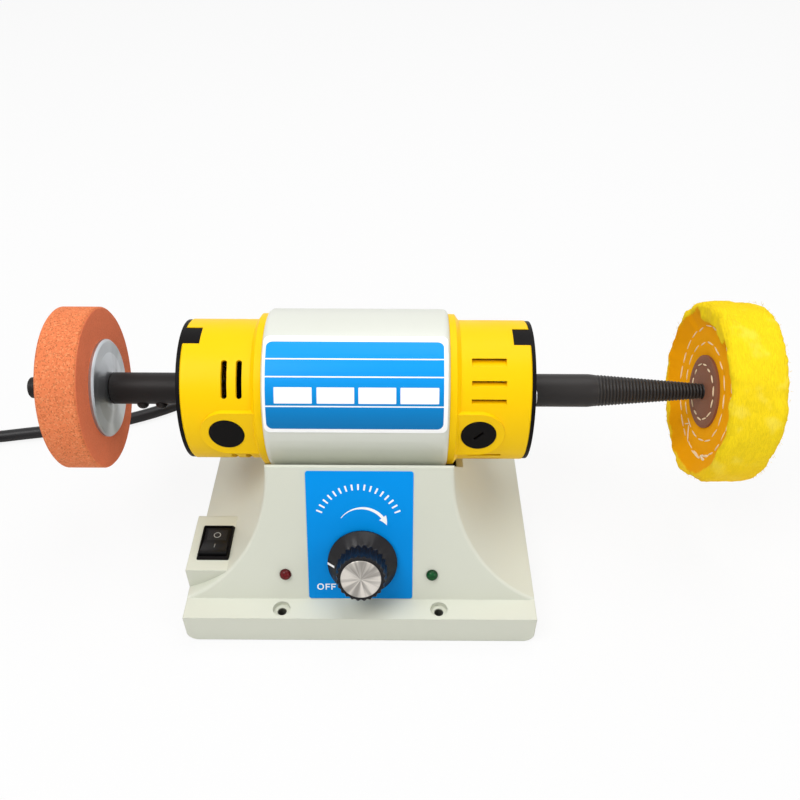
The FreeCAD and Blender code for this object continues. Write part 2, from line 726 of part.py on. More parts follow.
def housing_edge(edge, middle):
    """The long edges between the two panels and the flanks."""
    on_front = abs(middle.y + value(PANEL_FOOT)
                   - (middle.z - value(LIP_TOP)) * math.tan(math.radians(value("panel_tilt"))))
    on_rear = abs(middle.y - value(PANEL_FOOT)
                  + (middle.z - value(LIP_TOP)) * math.tan(math.radians(value("rear_tilt"))))
    near = value("wall") / 100
    outside = abs(middle.x) > value("cradle_half") - near
    upright = abs(edge.tangentAt(edge.FirstParameter).z) > near
    return min(on_front, on_rear) < near and outside and upright


def flare():
    """The V that opens from the barrel up to the tops of the two panels."""
    lip = f"({PANEL_FOOT} - ({HEAD} - ({LIP_TOP})) * tan(panel_tilt) - head_rim)"
    back = f"({PANEL_FOOT} - ({HEAD} - ({LIP_TOP})) * tan(rear_tilt) - head_rim)"
    low = f"({AXIS_Z} - barrel_radius)"
    high = f"{HEAD} + cut_over"
    drop = f"({HEAD} - {low}) / tan(flare_tilt)"
    return [
        (f"-{lip}", HEAD), (f"-{lip} + {drop}", low), (f"{back} - {drop}", low),
        (back, HEAD), (back, high), (f"-{lip}", high),
    ]


def shaft_rods(radius, clear):
    """Round the shaft: the barrel's length, and each end cap's length beyond it."""
    middle, end = f"{radius[0]} + {clear}", f"{radius[1]} + {clear}"
    return [
        rod(middle, "2 * barrel_half + 2 * saddle_gap",
            ("motor_shift - barrel_half - saddle_gap", "axis_back", AXIS_Z), "x"),
        rod(end, "4 * base_width", ("-2 * base_width", "axis_back", AXIS_Z), "x"),
    ]


def make_base_housing():
    high = f"{HEAD} + cut_over"
    outer = common(
        prism(bell("cradle_half", "base_width / 2 + lower_round", "bell_radius", high), "y",
              "base_depth / 2"),
        prism(side_view("0", RIM, high), "x", "base_width"))
    doc.recompute()
    shell = doc.addObject("Part::Fillet", "panel_edges")
    shell.Base = outer
    picked = []
    for i, edge in enumerate(outer.Shape.Edges):
        middle = edge.valueAt((edge.FirstParameter + edge.LastParameter) / 2)
        if housing_edge(edge, middle):
            picked.append((i + 1, value("panel_round"), value("panel_round")))
    shell.Edges = picked
    upper = common(shell, block(
        ("base_width", "base_depth", f"{HEAD} - ({LIP_TOP}) + wall / 2"),
        ("-base_width / 2", "-base_depth / 2", f"{LIP_TOP} - wall / 2")))
    lower = prism(foot_view("base_width / 2", LIP_TOP), "y", "base_depth / 2")
    pad = block(
        ("pad_reach", "pad_length", "pad_height - lower_round"),
        ("-base_width / 2", "pad_setback - base_depth / 2", "foot_proud + lower_round"))
    hollow = common(
        prism(bell("cradle_half - wall", "base_width / 2 - side_wall",
                   "(bell_radius + wall)", "foot_proud + cavity_height"),
              "y", "base_depth / 2"),
        prism(side_view("wall", RIM, "foot_proud + cavity_height"), "x", "base_width / 2"))
    under = block(
        ("base_width - 2 * side_wall", "base_depth - 2 * wall",
         "lip_height - wall + cut_over"),
        ("-base_width / 2 + side_wall", "-base_depth / 2 + wall", f"{RIM} - cut_over"))
    cavity = cut(fuse(hollow, under),
                 fuse(*shaft_rods(("barrel_radius", "cap_flange_radius"), "saddle_gap + wall")))
    saddles = shaft_rods(("barrel_radius", "cap_flange_radius"), "saddle_gap")
    saddles.append(prism(flare(), "x", "base_width / 2"))
    posts, bosses, holes = [], [], []
    for sx in (-1, 1):
        for sy in (-1, 1):
            at = (f"{sx} * {POST_X}", f"{sy} * {POST_Y}")
            posts.append(rod("post_radius", f"{POST_TOP} - ({PLATE_TOP})", (*at, PLATE_TOP)))
            holes.append(rod("post_bore", "plate_screw_grip + cut_over",
                             (*at, f"{PLATE_TOP} - cut_over")))
            at = (f"{sx} * bench_half_x", f"{sy} * ({BENCH_Y})")
            bosses.append(rod("bench_boss", "lip_height - wall / 2", (*at, RIM)))
            holes.append(rod("bench_hole", "lip_height + 2 * cut_over", (*at, "-cut_over")))
            holes.append(rod("bench_sink", "bench_sink_depth + cut_over",
                             (*at, f"{LIP_TOP} - bench_sink_depth")))
        holes.append(rod("saddle_screw + saddle_screw_gap", "2 * wall", (
            f"motor_shift + {sx} * saddle_screw_x", "axis_back",
            f"{AXIS_Z} - barrel_radius - 2 * wall"), "z"))
    for across, along, start, height in (
            ("switch_body_width", "switch_body_length",
             f"{PAD_Z} - switch_body_depth - cut_over", "switch_body_depth + 2 * cut_over"),
            ("bezel_width", "bezel_length", PAD_Z, "2 * (bezel_height + rocker_height)")):
        holes.append(block(
            (f"{across} + 2 * switch_cut_gap", f"{along} + 2 * switch_cut_gap", height),
            (f"{SWITCH_X} - {across} / 2 - switch_cut_gap",
             f"{SWITCH_Y} - {along} / 2 - switch_cut_gap", start)))
    for side, up, radius in (("dial_x", "dial_up", "bush_radius + bush_gap"),
                             ("lamp_shift + lamp_x", "lamp_up", "lamp_radius + lamp_gap"),
                             ("lamp_shift - lamp_x", "lamp_up", "lamp_radius + lamp_gap")):
        bore = rod(radius, "2 * wall + 2 * cut_over", ("0", "0", "0"))
        place(bore, panel_spot(side, up, "-2 * wall"), X_AXIS, "90 - panel_tilt")
        holes.append(bore)
    holes.append(rod("gland_neck + gland_neck_gap", "2 * wall + 2 * cut_over",
                     ("gland_x", "base_depth / 2 - 2 * wall", GLAND_Z), "y"))
    holes.append(rod("gland_collar + gland_collar_gap", "gland_collar_width + cut_over", (
        "gland_x", "base_depth / 2 - wall - gland_collar_width - cut_over", GLAND_Z), "y"))
    solid = cut(fuse(upper, lower, pad), fuse(cavity, *saddles))
    keep(cut(fuse(solid, *posts, *bosses), fuse(*holes)), "base_housing")


def panel_spot(side, up, out="0"):
    """A point of the control panel: along X, up the slope from its foot, and out of it."""
    return (side,
            f"-({PANEL_FOOT}) + ({up}) * sin(panel_tilt) - ({out}) * cos(panel_tilt)",
            f"{LIP_TOP} + ({up}) * cos(panel_tilt) + ({out}) * sin(panel_tilt)")


# Bottom plate, feet and their screws


def make_bottom():
    plate = make_body("bottom_plate", ("0", "0", PLATE_BOTTOM))
    sheet_sketch = shaped(plate, "XY_Plane", rectangle(
        "-(base_width / 2 - side_wall - plate_gap)", "-(base_depth / 2 - wall - plate_gap)",
        "base_width / 2 - side_wall - plate_gap", "base_depth / 2 - wall - plate_gap"))
    extrude(plate, "Pad", sheet_sketch, "plate_sheet")
    rings = []
    for sx in (-1, 1):
        for sy in (-1, 1):
            rings.append((f"{sx} * bench_half_x", f"{sy} * ({BENCH_Y})",
                          "bench_boss + plate_gap"))
            rings.append((f"{sx} * {POST_X}", f"{sy} * {POST_Y}", "plate_screw + plate_gap"))
            rings.append((f"{sx} * {FOOT_X}", f"{sy} * {FOOT_Y}", "foot_stem + foot_stem_gap"))
    extrude(plate, "Pocket", shaped(plate, "XY_Plane", rings=rings),
            "2 * (plate_sheet + cut_over)", both=True)
    notch = rectangle(
        "gland_x - gland_collar - plate_gap",
        "base_depth / 2 - wall - gland_collar_width - plate_gap",
        "gland_x + gland_collar + plate_gap", "base_depth / 2")
    extrude(plate, "Pocket", shaped(plate, "XY_Plane", notch),
            "2 * (plate_sheet + cut_over)", both=True)
    slots = []
    for i in (-2, -1, 0, 1, 2):
        v = f"{i} * vent_pitch"
        for low, high in (("-vent_length - vent_pitch / 2", "-vent_pitch / 2"),
                          ("vent_pitch / 2", "vent_length + vent_pitch / 2")):
            slots.append(rectangle(low, f"{v} - vent_width / 2", high, f"{v} + vent_width / 2"))
    extrude(plate, "Pocket", shaped(plate, "XY_Plane", *slots),
            "2 * (plate_sheet + cut_over)", both=True)
    feet, screws = [], []
    for sx in (-1, 1):
        for sy in (-1, 1):
            at = (f"{sx} * {FOOT_X}", f"{sy} * {FOOT_Y}")
            feet.append(fuse(
                rod("foot_radius", PLATE_BOTTOM, (*at, "0")),
                rod("foot_stem", "plate_sheet", (*at, PLATE_BOTTOM)),
                rod("foot_barb", "foot_barb_height", (*at, PLATE_TOP))))
            at = (f"{sx} * {POST_X}", f"{sy} * {POST_Y}")
            screws.append(fuse(
                rod("plate_screw_head", "plate_screw_head_height",
                    (*at, f"{PLATE_BOTTOM} - plate_screw_head_height")),
                rod("plate_screw", "plate_screw_grip", (*at, PLATE_BOTTOM))))
    group("rubber_feet", feet)
    group("bottom_screws", screws)


# Motor barrel with its screws and label


def make_barrel():
    barrel = plain_body(MOTOR)
    half, easing = "barrel_half", "barrel_round"
    spin(barrel, "Revolution", shaped(barrel, "XY_Plane", [
        (f"-{half}", "barrel_bore"), (half, "barrel_bore"),
        (half, f"barrel_radius - {easing}", easing, 1),
        (f"{half} - {easing}", "barrel_radius"),
        (f"-({half} - {easing})", "barrel_radius", easing, 1),
        (f"-{half}", f"barrel_radius - {easing}"),
    ]))
    screws, holes = [], []
    for sx in (-1, 1):
        at = (f"motor_shift + {sx} * saddle_screw_x", "axis_back")
        seat = f"{AXIS_Z} - barrel_radius - saddle_gap - wall"
        reach = "saddle_gap + wall + (barrel_radius + barrel_bore) / 2 - barrel_bore"
        screws.append(fuse(
            rod("saddle_screw_head", "saddle_screw_head_height",
                (*at, f"{seat} - saddle_screw_head_height")),
            rod("saddle_screw", reach, (*at, seat))))
        holes.append(rod("saddle_screw + saddle_screw_gap", "barrel_radius - barrel_bore", (
            *at, f"{AXIS_Z} - barrel_radius - cut_over")))
    group("saddle_screws", screws)
    keep(cut(barrel, fuse(*holes)), "motor_barrel")
    label = make_body("rating_label", MOTOR)
    strip = spin(label, "Revolution", shaped(label, "XY_Plane", rectangle(
        "-label_length / 2", "barrel_radius + label_gap", "label_length / 2",
        "barrel_radius + label_gap + label_sheet"), turn="180 - label_middle"),
        sweep="label_sweep")
    rounding(label, strip, "label_corner",
             lambda edge, middle: edge.Length < value("2 * label_sheet"))


# End caps, plates and what fills their bosses


def make_end_cap(side, turn):
    """A moulded cup with a bearing seat, a spigot round the stator and side bosses."""
    cap = make_body(side + "_end_cap", MOTOR, Z_AXIS, turn)
    seat = "bearing_radius + seat_gap"
    inner = "cap_radius - cap_wall"
    flange = "barrel_half + cap_flange_width"
    spin(cap, "Revolution", shaped(cap, "XY_Plane", [
        ("barrel_half - spigot_length", "spigot_bore"), (flange, "spigot_bore"),
        (f"{flange} + cap_cone", inner), (BEARING_OUT, inner),
        (BEARING_OUT, f"{seat} + seat_wall"),
        (f"{BEARING_OUT} - bearing_width", f"{seat} + seat_wall"),
        (f"{BEARING_OUT} - bearing_width", seat), (BEARING_OUT, seat),
        (BEARING_OUT, "cap_hole"), (CAP_END, "cap_hole"),
        (CAP_END, "cap_radius - cap_edge"), (f"{CAP_END} - cap_edge", "cap_radius"),
        (f"{flange} + cap_cone", "cap_radius"), (flange, "cap_flange_radius"),
        ("barrel_half", "cap_flange_radius"), ("barrel_half", "spigot_radius"),
        ("barrel_half - spigot_length", "spigot_radius"),
    ]))
    station = {"left": "plug_station", "right": "brush_station"}[side]
    depth = "boss_face - boss_root"
    bar = extrude(cap, "Pad", shaped(cap, "XZ_Plane", rectangle(
        "barrel_half", "-boss_half", station, "boss_half"), lift="boss_root"), depth)
    nose = extrude(cap, "Pad", shaped(
        cap, "XZ_Plane", rings=[(station, "0", "boss_half")], lift="boss_root"), depth)
    mirrored(cap, [bar, nose], "XZ_Plane")
    seat_cut = extrude(cap, "Pocket", shaped(
        cap, "XZ_Plane", rings=[(station, "0", "plug_radius + plug_gap")], lift="plug_seat"),
        "boss_face", back=True)
    mirrored(cap, [seat_cut], "XZ_Plane")
    extrude(cap, "Pocket", shaped(cap, "XZ_Plane", rings=[(station, "0", "holder_bore")]),
            "3 * cap_radius", both=True)
    if side == "left":
        slots = []
        rise = "sqrt(slot_round^2 - (slot_width / 2)^2)"
        end = f"(slot_length / 2 - slot_round + {rise})"
        for station_along in ("slot_low_station", "slot_high_station"):
            low, high = (f"{station_along} {sign} slot_width / 2" for sign in "-+")
            slots.append([
                (low, f"-{end}", "slot_round", 1), (high, f"-{end}"),
                (high, end, "slot_round", 1), (low, end)])
        slot = extrude(cap, "Pocket", shaped(
            cap, "XY_Plane", *slots, turn="slot_angle - 90"), "cap_radius + cut_over", back=True)
        around(cap, [slot], "X_Axis", "4")
    else:
        louvres = []
        for height in ("louvre_low", "louvre_middle", "louvre_high"):
            for sign in ("", "-"):
                v = f"{sign}{height}"
                louvres.append(rectangle(
                    "louvre_station - louvre_length / 2", f"{v} - louvre_width / 2",
                    "louvre_station + louvre_length / 2", f"{v} + louvre_width / 2"))
        extrude(cap, "Pocket", shaped(cap, "XZ_Plane", *louvres), "3 * cap_radius", both=True)
    tab_turn = {"left": "tab_angle", "right": "180 - tab_angle"}[side]
    notch = spin(cap, "Groove", shaped(cap, "XY_Plane", rectangle(
        f"{CAP_END} - tab_length - tab_gap", f"{inner} - tab_gap",
        f"{CAP_END} + cut_over", "cap_radius + cut_over"), turn=tab_turn),
        sweep="tab_sweep + 2 * tab_gap")
    around(cap, [notch], "X_Axis", "2")
    pilot = extrude(cap, "Pocket", shaped(cap, "YZ_Plane", rings=[
        ("0", "-end_screw_circle", "end_screw_radius + end_screw_gap")],
        lift=f"{CAP_END} - cap_end_wall - cut_over"), "cap_end_wall + 2 * cut_over", back=True)
    around(cap, [pilot], "X_Axis", "3")

    plate = make_body(side + "_end_plate", MOTOR, Z_AXIS, turn)
    spin(plate, "Revolution", shaped(plate, "XY_Plane", rectangle(
        CAP_END, "end_plate_hole", PLATE_FACE, "end_plate_radius")))
    tab = spin(plate, "Revolution", shaped(plate, "XY_Plane", rectangle(
        f"{CAP_END} - tab_length", inner, f"{CAP_END} + end_plate_sheet / 2",
        "end_plate_radius"), turn=tab_turn), sweep="tab_sweep")
    around(plate, [tab], "X_Axis", "2")
    hole = extrude(plate, "Pocket", shaped(plate, "YZ_Plane", rings=[
        ("0", "-end_screw_circle", "end_screw_radius + end_screw_gap")],
        lift=f"{CAP_END} - cut_over"), "end_plate_sheet + 2 * cut_over", back=True)
    around(plate, [hole], "X_Axis", "3")


def make_end_plate_screws():
    """Three screws hold each end plate: one straight below the shaft and two above."""
    screws = []
    for side, sign in (("left", "-"), ("right", "+")):
        for i in range(3):
            angle = f"{i} * 360 / 3"
            y = f"axis_back {sign} end_screw_circle * sin({angle})"
            z = f"{AXIS_Z} - end_screw_circle * cos({angle})"
            if side == "right":
                head_x = f"motor_shift + {PLATE_FACE}"
                shank_x = f"motor_shift + {CAP_END} - cap_end_wall"
            else:
                head_x = f"motor_shift - ({PLATE_FACE}) - end_screw_head_height"
                shank_x = f"motor_shift - ({PLATE_FACE})"
            screws.append(fuse(
                rod("end_screw_head", "end_screw_head_height", (head_x, y, z), "x"),
                rod("end_screw_radius", "cap_end_wall + end_plate_sheet", (shank_x, y, z), "x")))
    group("end_plate_screws", screws)


def make_plugs(node, station, slotted):
    """Two round black plugs, front and back, with a screwdriver slot where they hold a brush."""
    plugs = []
    for turn in ("0", "180"):
        plug = plain_body((f"motor_shift + {station}", "axis_back", AXIS_Z), Z_AXIS, turn)
        disc = extrude(plug, "Pad", shaped(
            plug, "XZ_Plane", rings=[("0", "0", "plug_radius")], lift="plug_seat"),
            "boss_face + plug_proud - plug_seat")
        rounding(plug, disc, "plug_proud",
                 lambda edge, middle: middle.y < value("-boss_face - plug_proud / 2"))
        if slotted:
            bar = sketch_on(plug, "XZ_Plane", "boss_face + plug_proud")
            bar.AttachmentOffset = FreeCAD.Placement(
                Vector(0, 0, 0), FreeCAD.Rotation(Z_AXIS, value("driver_slot_turn")))
            bind(bar, "AttachmentOffset.Rotation.Angle", "driver_slot_turn")
            bind(bar, "AttachmentOffset.Base.z", "boss_face + plug_proud")
            draw(bar, rectangle("-driver_slot_length / 2", "-driver_slot / 2",
                                "driver_slot_length / 2", "driver_slot / 2"))
            extrude(plug, "Pocket", bar, "driver_slot_depth")
        plugs.append(plug)
    group(node, plugs)


def make_brush_gear():
    """Holders, brushes and springs that press on the commutator from front and back."""
    at_x = "motor_shift + brush_station"
    outer = "holder_bore - holder_gap"
    holders, brushes, springs = [], [], []
    reach = "plug_seat - holder_inner_end"
    brush_start = "commutator_radius + brush_gap"
    for sign in (-1, 1):
        def spread(near, length):
            return f"axis_back + {near}" if sign > 0 else f"axis_back - ({near}) - ({length})"
        holders.append(pipe(outer, f"{outer} - holder_wall", reach,
                            (at_x, spread("holder_inner_end", reach), AXIS_Z), "y"))
        brushes.append(rod("brush_radius", "brush_length",
                           (at_x, spread(brush_start, "brush_length"), AXIS_Z), "y"))
        start = f"{brush_start} + brush_length"
        length = f"plug_seat - ({start})"
        springs.append(pipe("spring_radius", "spring_radius - spring_wire", length,
                            (at_x, spread(start, length), AXIS_Z), "y"))
    group("brush_holders", holders)
    group("carbon_brushes", brushes)
    group("brush_springs", springs)


# Stator and rotor


def sector(outer, inner, sweep, half, middle):
    """A piece of a tube about the shaft, centred on a direction in degrees."""
    start = f"motor_shift - ({half})"
    rods = []
    for radius, over in ((outer, "0"), (inner, "cut_over")):
        thing = doc.addObject("Part::Cylinder", "sector")
        bind(thing, "Radius", radius)
        bind(thing, "Height", f"2 * ({half}) + 2 * {over}")
        if over == "0":
            bind(thing, "Angle", sweep)
        turn = FreeCAD.Rotation(Y_AXIS, 90).multiply(
            FreeCAD.Rotation(Z_AXIS, middle - value(sweep) / 2))
        thing.Placement = FreeCAD.Placement(Vector(0, 0, 0), turn)
        bind(thing, "Placement.Base.x", f"{start} - {over}")
        bind(thing, "Placement.Base.y", "axis_back")
        bind(thing, "Placement.Base.z", AXIS_Z)
        rods.append(thing)
    return cut(*rods)


def make_stator():
    """A laminated core with two poles, and a saddle-shaped coil round each pole."""
    core = pipe("stator_radius", "stator_bore", "2 * stator_half",
                ("motor_shift - stator_half", "axis_back", AXIS_Z), "x")
    windows, coils = [], []
    for middle in (90, 270):
        wide = sector("coil_outer + coil_gap", "coil_inner - coil_gap",
                      "coil_sweep + 2 * coil_gap_sweep", "stator_half + cut_over", middle)
        pole = sector("coil_outer + cut_over", "coil_inner - cut_over",
                      "pole_sweep - 2 * coil_gap_sweep", "stator_half + 2 * cut_over", middle)
        windows.append(cut(wide, pole))
        whole = sector("coil_outer", "coil_inner", "coil_sweep", "stator_half + coil_overhang",
                       middle)
        window = sector("coil_outer + cut_over", "coil_inner - cut_over", "pole_sweep",
                        "stator_half + coil_gap", middle)
        coils.append(cut(whole, window))
    keep(cut(core, fuse(*windows)), "stator_core")
    group("field_coils", coils)


def make_rotor():
    shaft = rod("shaft_radius", "shaft_left + shaft_right",
                ("motor_shift - shaft_left", "axis_back", AXIS_Z), "x")
    keep(shaft, "motor_shaft")
    bore = "shaft_radius + fit_gap"
    keep(pipe("armature_radius", bore, "2 * armature_half",
              ("motor_shift - armature_half", "axis_back", AXIS_Z), "x"), "armature_core")
    windings = []
    for turn in ("180", "0"):
        winding = plain_body(MOTOR, Z_AXIS, turn)
        spin(winding, "Revolution", shaped(winding, "XY_Plane", [
            ("armature_half", bore), ("armature_half + winding_length", bore),
            ("armature_half + winding_length", "winding_radius - winding_round",
             "winding_round", 1),
            ("armature_half + winding_length - winding_round", "winding_radius"),
            ("armature_half", "winding_radius"),
        ]))
        windings.append(winding)
    group("armature_windings", windings)
    keep(pipe("commutator_radius", bore, "commutator_length",
              ("motor_shift + brush_station - commutator_length / 2", "axis_back", AXIS_Z), "x"),
         "commutator")
    outer_rings, inner_rings, balls = [], [], []
    for start in (f"motor_shift + {BEARING_OUT} - bearing_width",
                  f"motor_shift - ({BEARING_OUT})"):
        at = (start, "axis_back", AXIS_Z)
        outer_rings.append(pipe("bearing_radius", "bearing_outer_bore", "bearing_width", at, "x"))
        inner_rings.append(pipe("bearing_inner_rim", bore, "bearing_width", at, "x"))
        count = int(value("ball_count"))
        for i in range(count):
            ball = doc.addObject("Part::Sphere", "ball")
            bind(ball, "Radius", "ball_radius")
            angle = f"{i} * 360 / ball_count"
            place(ball, (f"{start} + bearing_width / 2",
                         f"axis_back + ball_circle * cos({angle})",
                         f"{AXIS_Z} + ball_circle * sin({angle})"))
            balls.append(ball)
    group("bearing_outer_rings", outer_rings)
    group("bearing_inner_rings", inner_rings)
    group("bearing_balls", balls)
    make_fan(bore)


def make_fan(bore):
    """A radial fan behind the round slots of the left cap."""
    fan = make_body("cooling_fan", ("motor_shift - fan_station", "axis_back", AXIS_Z))
    spin(fan, "Revolution", shaped(fan, "XY_Plane", [
        ("-fan_width / 2", bore), ("fan_width / 2", bore), ("fan_width / 2", "fan_radius"),
        ("fan_width / 2 - fan_disc", "fan_radius"), ("fan_width / 2 - fan_disc", "fan_hub"),
        ("-fan_width / 2", "fan_hub"),
    ]))
    blade = extrude(fan, "Pad", shaped(fan, "XY_Plane", rectangle(
        "-fan_width / 2", "blade_root", "fan_width / 2 - fan_disc / 2", "fan_radius")),
        "blade_sheet", both=True)
    around(fan, [blade], "X_Axis", "blade_count")


# What the shaft carries at the left: arbor, washers, grinding wheel and nut


def make_washer(node, face, turn):
    """A dished washer: its rim presses on the wheel, its hub on the shoulder or the nut."""
    washer = make_body(node, (f"motor_shift - ({face})", "axis_back", AXIS_Z), Z_AXIS, turn)
    bore = "stub_radius + stub_gap"
    spin(washer, "Revolution", shaped(washer, "XY_Plane", [
        ("washer_dish", bore), ("washer_thick", bore), ("washer_thick", "washer_hub"),
        ("washer_thick - washer_dish", "washer_land - washer_dish"),
        ("washer_thick - washer_dish", "washer_radius - washer_dish"),
        ("washer_thick - 2 * washer_dish", "washer_radius"), ("0", "washer_radius"),
        ("0", "washer_land"), ("washer_dish", "washer_land - washer_dish"),
    ]))


def radial(station, turn, radius, reach, start="shaft_radius + fit_gap"):
    """A screw that stands on the shaft: along the shaft, degrees below the front, size, length."""
    screw = rod(radius, reach, ("0", "0", "0"))
    place(screw, (f"motor_shift + {station}",
                  f"axis_back - ({start}) * cos({turn})",
                  f"{AXIS_Z} - ({start}) * sin({turn})"),
          X_AXIS, f"90 + {turn}")
    return screw


def make_left_end():
    arbor = plain_body(MOTOR, Z_AXIS, "180")
    start = f"{PLATE_FACE} + arbor_clear"
    shoulder = "wheel_face - washer_thick"
    bore = "shaft_radius + fit_gap"
    spin(arbor, "Revolution", shaped(arbor, "XY_Plane", [
        (start, bore), ("shaft_left", bore), ("shaft_left", "0"),
        ("wheel_face + stub_length", "0"),
        ("wheel_face + stub_length", "stub_radius - cap_edge"),
        ("wheel_face + stub_length - cap_edge", "stub_radius"),
        (shoulder, "stub_radius"), (shoulder, "arbor_radius - cap_edge"),
        (f"{shoulder} - cap_edge", "arbor_radius"), (start, "arbor_radius"),
    ]))
    stations = ("-set_screw_near", "-set_screw_far")
    length = "arbor_radius + set_screw_proud - shaft_radius - fit_gap"
    holes = [radial(s, "set_screw_turn", "set_screw_radius + set_screw_gap",
                    "2 * arbor_radius") for s in stations]
    keep(cut(arbor, fuse(*holes)), "left_arbor")
    group("arbor_set_screws", [
        radial(s, "set_screw_turn", "set_screw_radius", length) for s in stations])
    make_washer("inner_flange", "wheel_face", "0")
    make_washer("outer_flange", "wheel_face + wheel_width", "180")
    wheel = make_body("grinding_wheel", (
        "motor_shift - wheel_face", "axis_back", AXIS_Z), Z_AXIS, "180")
    spin(wheel, "Revolution", shaped(wheel, "XY_Plane", [
        ("0", "stub_radius + stub_gap"), ("wheel_width", "stub_radius + stub_gap"),
        ("wheel_width", "wheel_radius - wheel_edge"), ("wheel_width - wheel_edge", "wheel_radius"),
        ("wheel_edge", "wheel_radius"), ("0", "wheel_radius - wheel_edge"),
    ]))
    nut = make_body("arbor_nut", (
        "motor_shift - wheel_face - wheel_width - washer_thick - nut_height",
        "axis_back", AXIS_Z))
    extrude(nut, "Pad", shaped(nut, "YZ_Plane", hexagon("nut_across"),
                               rings=[("0", "0", "stub_radius + fit_gap")]), "nut_height")


# What the shaft carries at the right: taper spindle and buff


def taper(station):
    """The taper's radius at a distance from the motor's middle."""
    start = f"({PLATE_FACE} + arbor_clear + spindle_plain)"
    return (f"(thread_start_radius - ({station} - {start})"
            " * (thread_start_radius - thread_tip_radius) / thread_length)")


def make_right_end():
    spindle = plain_body(MOTOR)
    start = f"{PLATE_FACE} + arbor_clear"
    plain = f"{start} + spindle_plain"
    bore = "shaft_radius + fit_gap"
    spin(spindle, "Revolution", shaped(spindle, "XY_Plane", [
        (start, bore), ("shaft_right", bore), ("shaft_right", "0"),
        (f"{plain} + thread_length", "0"), (f"{plain} + thread_length", "thread_tip_radius"),
        (plain, "thread_start_radius"), (plain, "spindle_radius - cap_edge"),
        (f"{plain} - cap_edge", "spindle_radius"), (start, "spindle_radius"),
    ]))
    holes = [radial(s, "90", "grub_radius + set_screw_gap", "2 * spindle_radius")
             for s in ("grub_near", "grub_far")]
    keep(cut(spindle, fuse(*holes)), "taper_spindle")
    group("spindle_grub_screws", [
        radial(s, "90", "grub_radius", "spindle_radius - grub_sink - shaft_radius - fit_gap")
        for s in ("grub_near", "grub_far")])
    buff = make_body("buffing_wheel", MOTOR)
    near, far = "buff_face", "(buff_face + buff_width)"
    dip = "(buff_width - buff_hub_width) / 2"
    hub_near, hub_far = f"({near} + {dip})", f"({far} - {dip})"
    spin(buff, "Revolution", shaped(buff, "XY_Plane", [
        (hub_near, f"{taper(hub_near)} + taper_gap"),
        (hub_far, f"{taper(hub_far)} + taper_gap"), (hub_far, "disc_radius"),
        (far, "disc_radius + buff_shoulder"), (far, f"buff_radius - {dip} / 2"),
        (f"{far} - {dip} / 2", "buff_radius"), (f"{near} + {dip} / 2", "buff_radius"),
        (near, f"buff_radius - {dip} / 2"), (near, "disc_radius + buff_shoulder"),
        (hub_near, "disc_radius"),
    ]))
    discs = []
    for low in (f"({hub_near} - disc_sheet)", hub_far):
        disc = plain_body(MOTOR)
        high = f"({low} + disc_sheet)"
        spin(disc, "Revolution", shaped(disc, "XY_Plane", [
            (low, f"{taper(low)} + taper_gap"), (high, f"{taper(high)} + taper_gap"),
            (high, "disc_radius"), (low, "disc_radius"),
        ]))
        discs.append(disc)
    group("leather_discs", discs)


# Rocker switch


def make_switch():
    at = (SWITCH_X, SWITCH_Y, PAD_Z)
    body = make_body("switch_frame", at)
    extrude(body, "Pad", shaped(body, "XY_Plane", rectangle(
        "-switch_body_width / 2", "-switch_body_length / 2",
        "switch_body_width / 2", "switch_body_length / 2")), "switch_body_depth", back=True)
    extrude(body, "Pad", shaped(body, "XY_Plane", rounded(
        "bezel_width", "bezel_length", "bezel_corner")), "bezel_height")
    extrude(body, "Pocket", shaped(body, "XY_Plane", rectangle(
        "-well_width / 2", "-well_length / 2", "well_width / 2", "well_length / 2"),
        lift="-well_depth"), "well_depth + bezel_height + cut_over", back=True)
    extrude(body, "Pocket", shaped(body, "YZ_Plane", rings=[
        ("0", "-pivot_depth", "pivot_radius + pivot_gap")]), "bezel_width", both=True)
    rocker = make_body("switch_rocker", (
        SWITCH_X, SWITCH_Y, f"{PAD_Z} - pivot_depth"), X_AXIS, "-rocker_tilt")
    dip = "rocker_height - rocker_half * tan(rocker_tilt)"
    extrude(rocker, "Pad", shaped(rocker, "YZ_Plane", [
        ("-rocker_keel_half", "-rocker_keel"), ("rocker_keel_half", "-rocker_keel"),
        ("rocker_half", "-rocker_skirt"), ("rocker_half", "rocker_height"), ("0", dip),
        ("-rocker_half", "rocker_height"), ("-rocker_half", "-rocker_skirt"),
    ]), "rocker_width", both=True)
    extrude(rocker, "Pad", shaped(rocker, "YZ_Plane", rings=[("0", "0", "pivot_radius")]),
            "switch_body_width", both=True)


# Control panel


def panel_body(node, side, up, out="0"):
    return make_body(node, panel_spot(side, up, out), X_AXIS, "90 - panel_tilt")


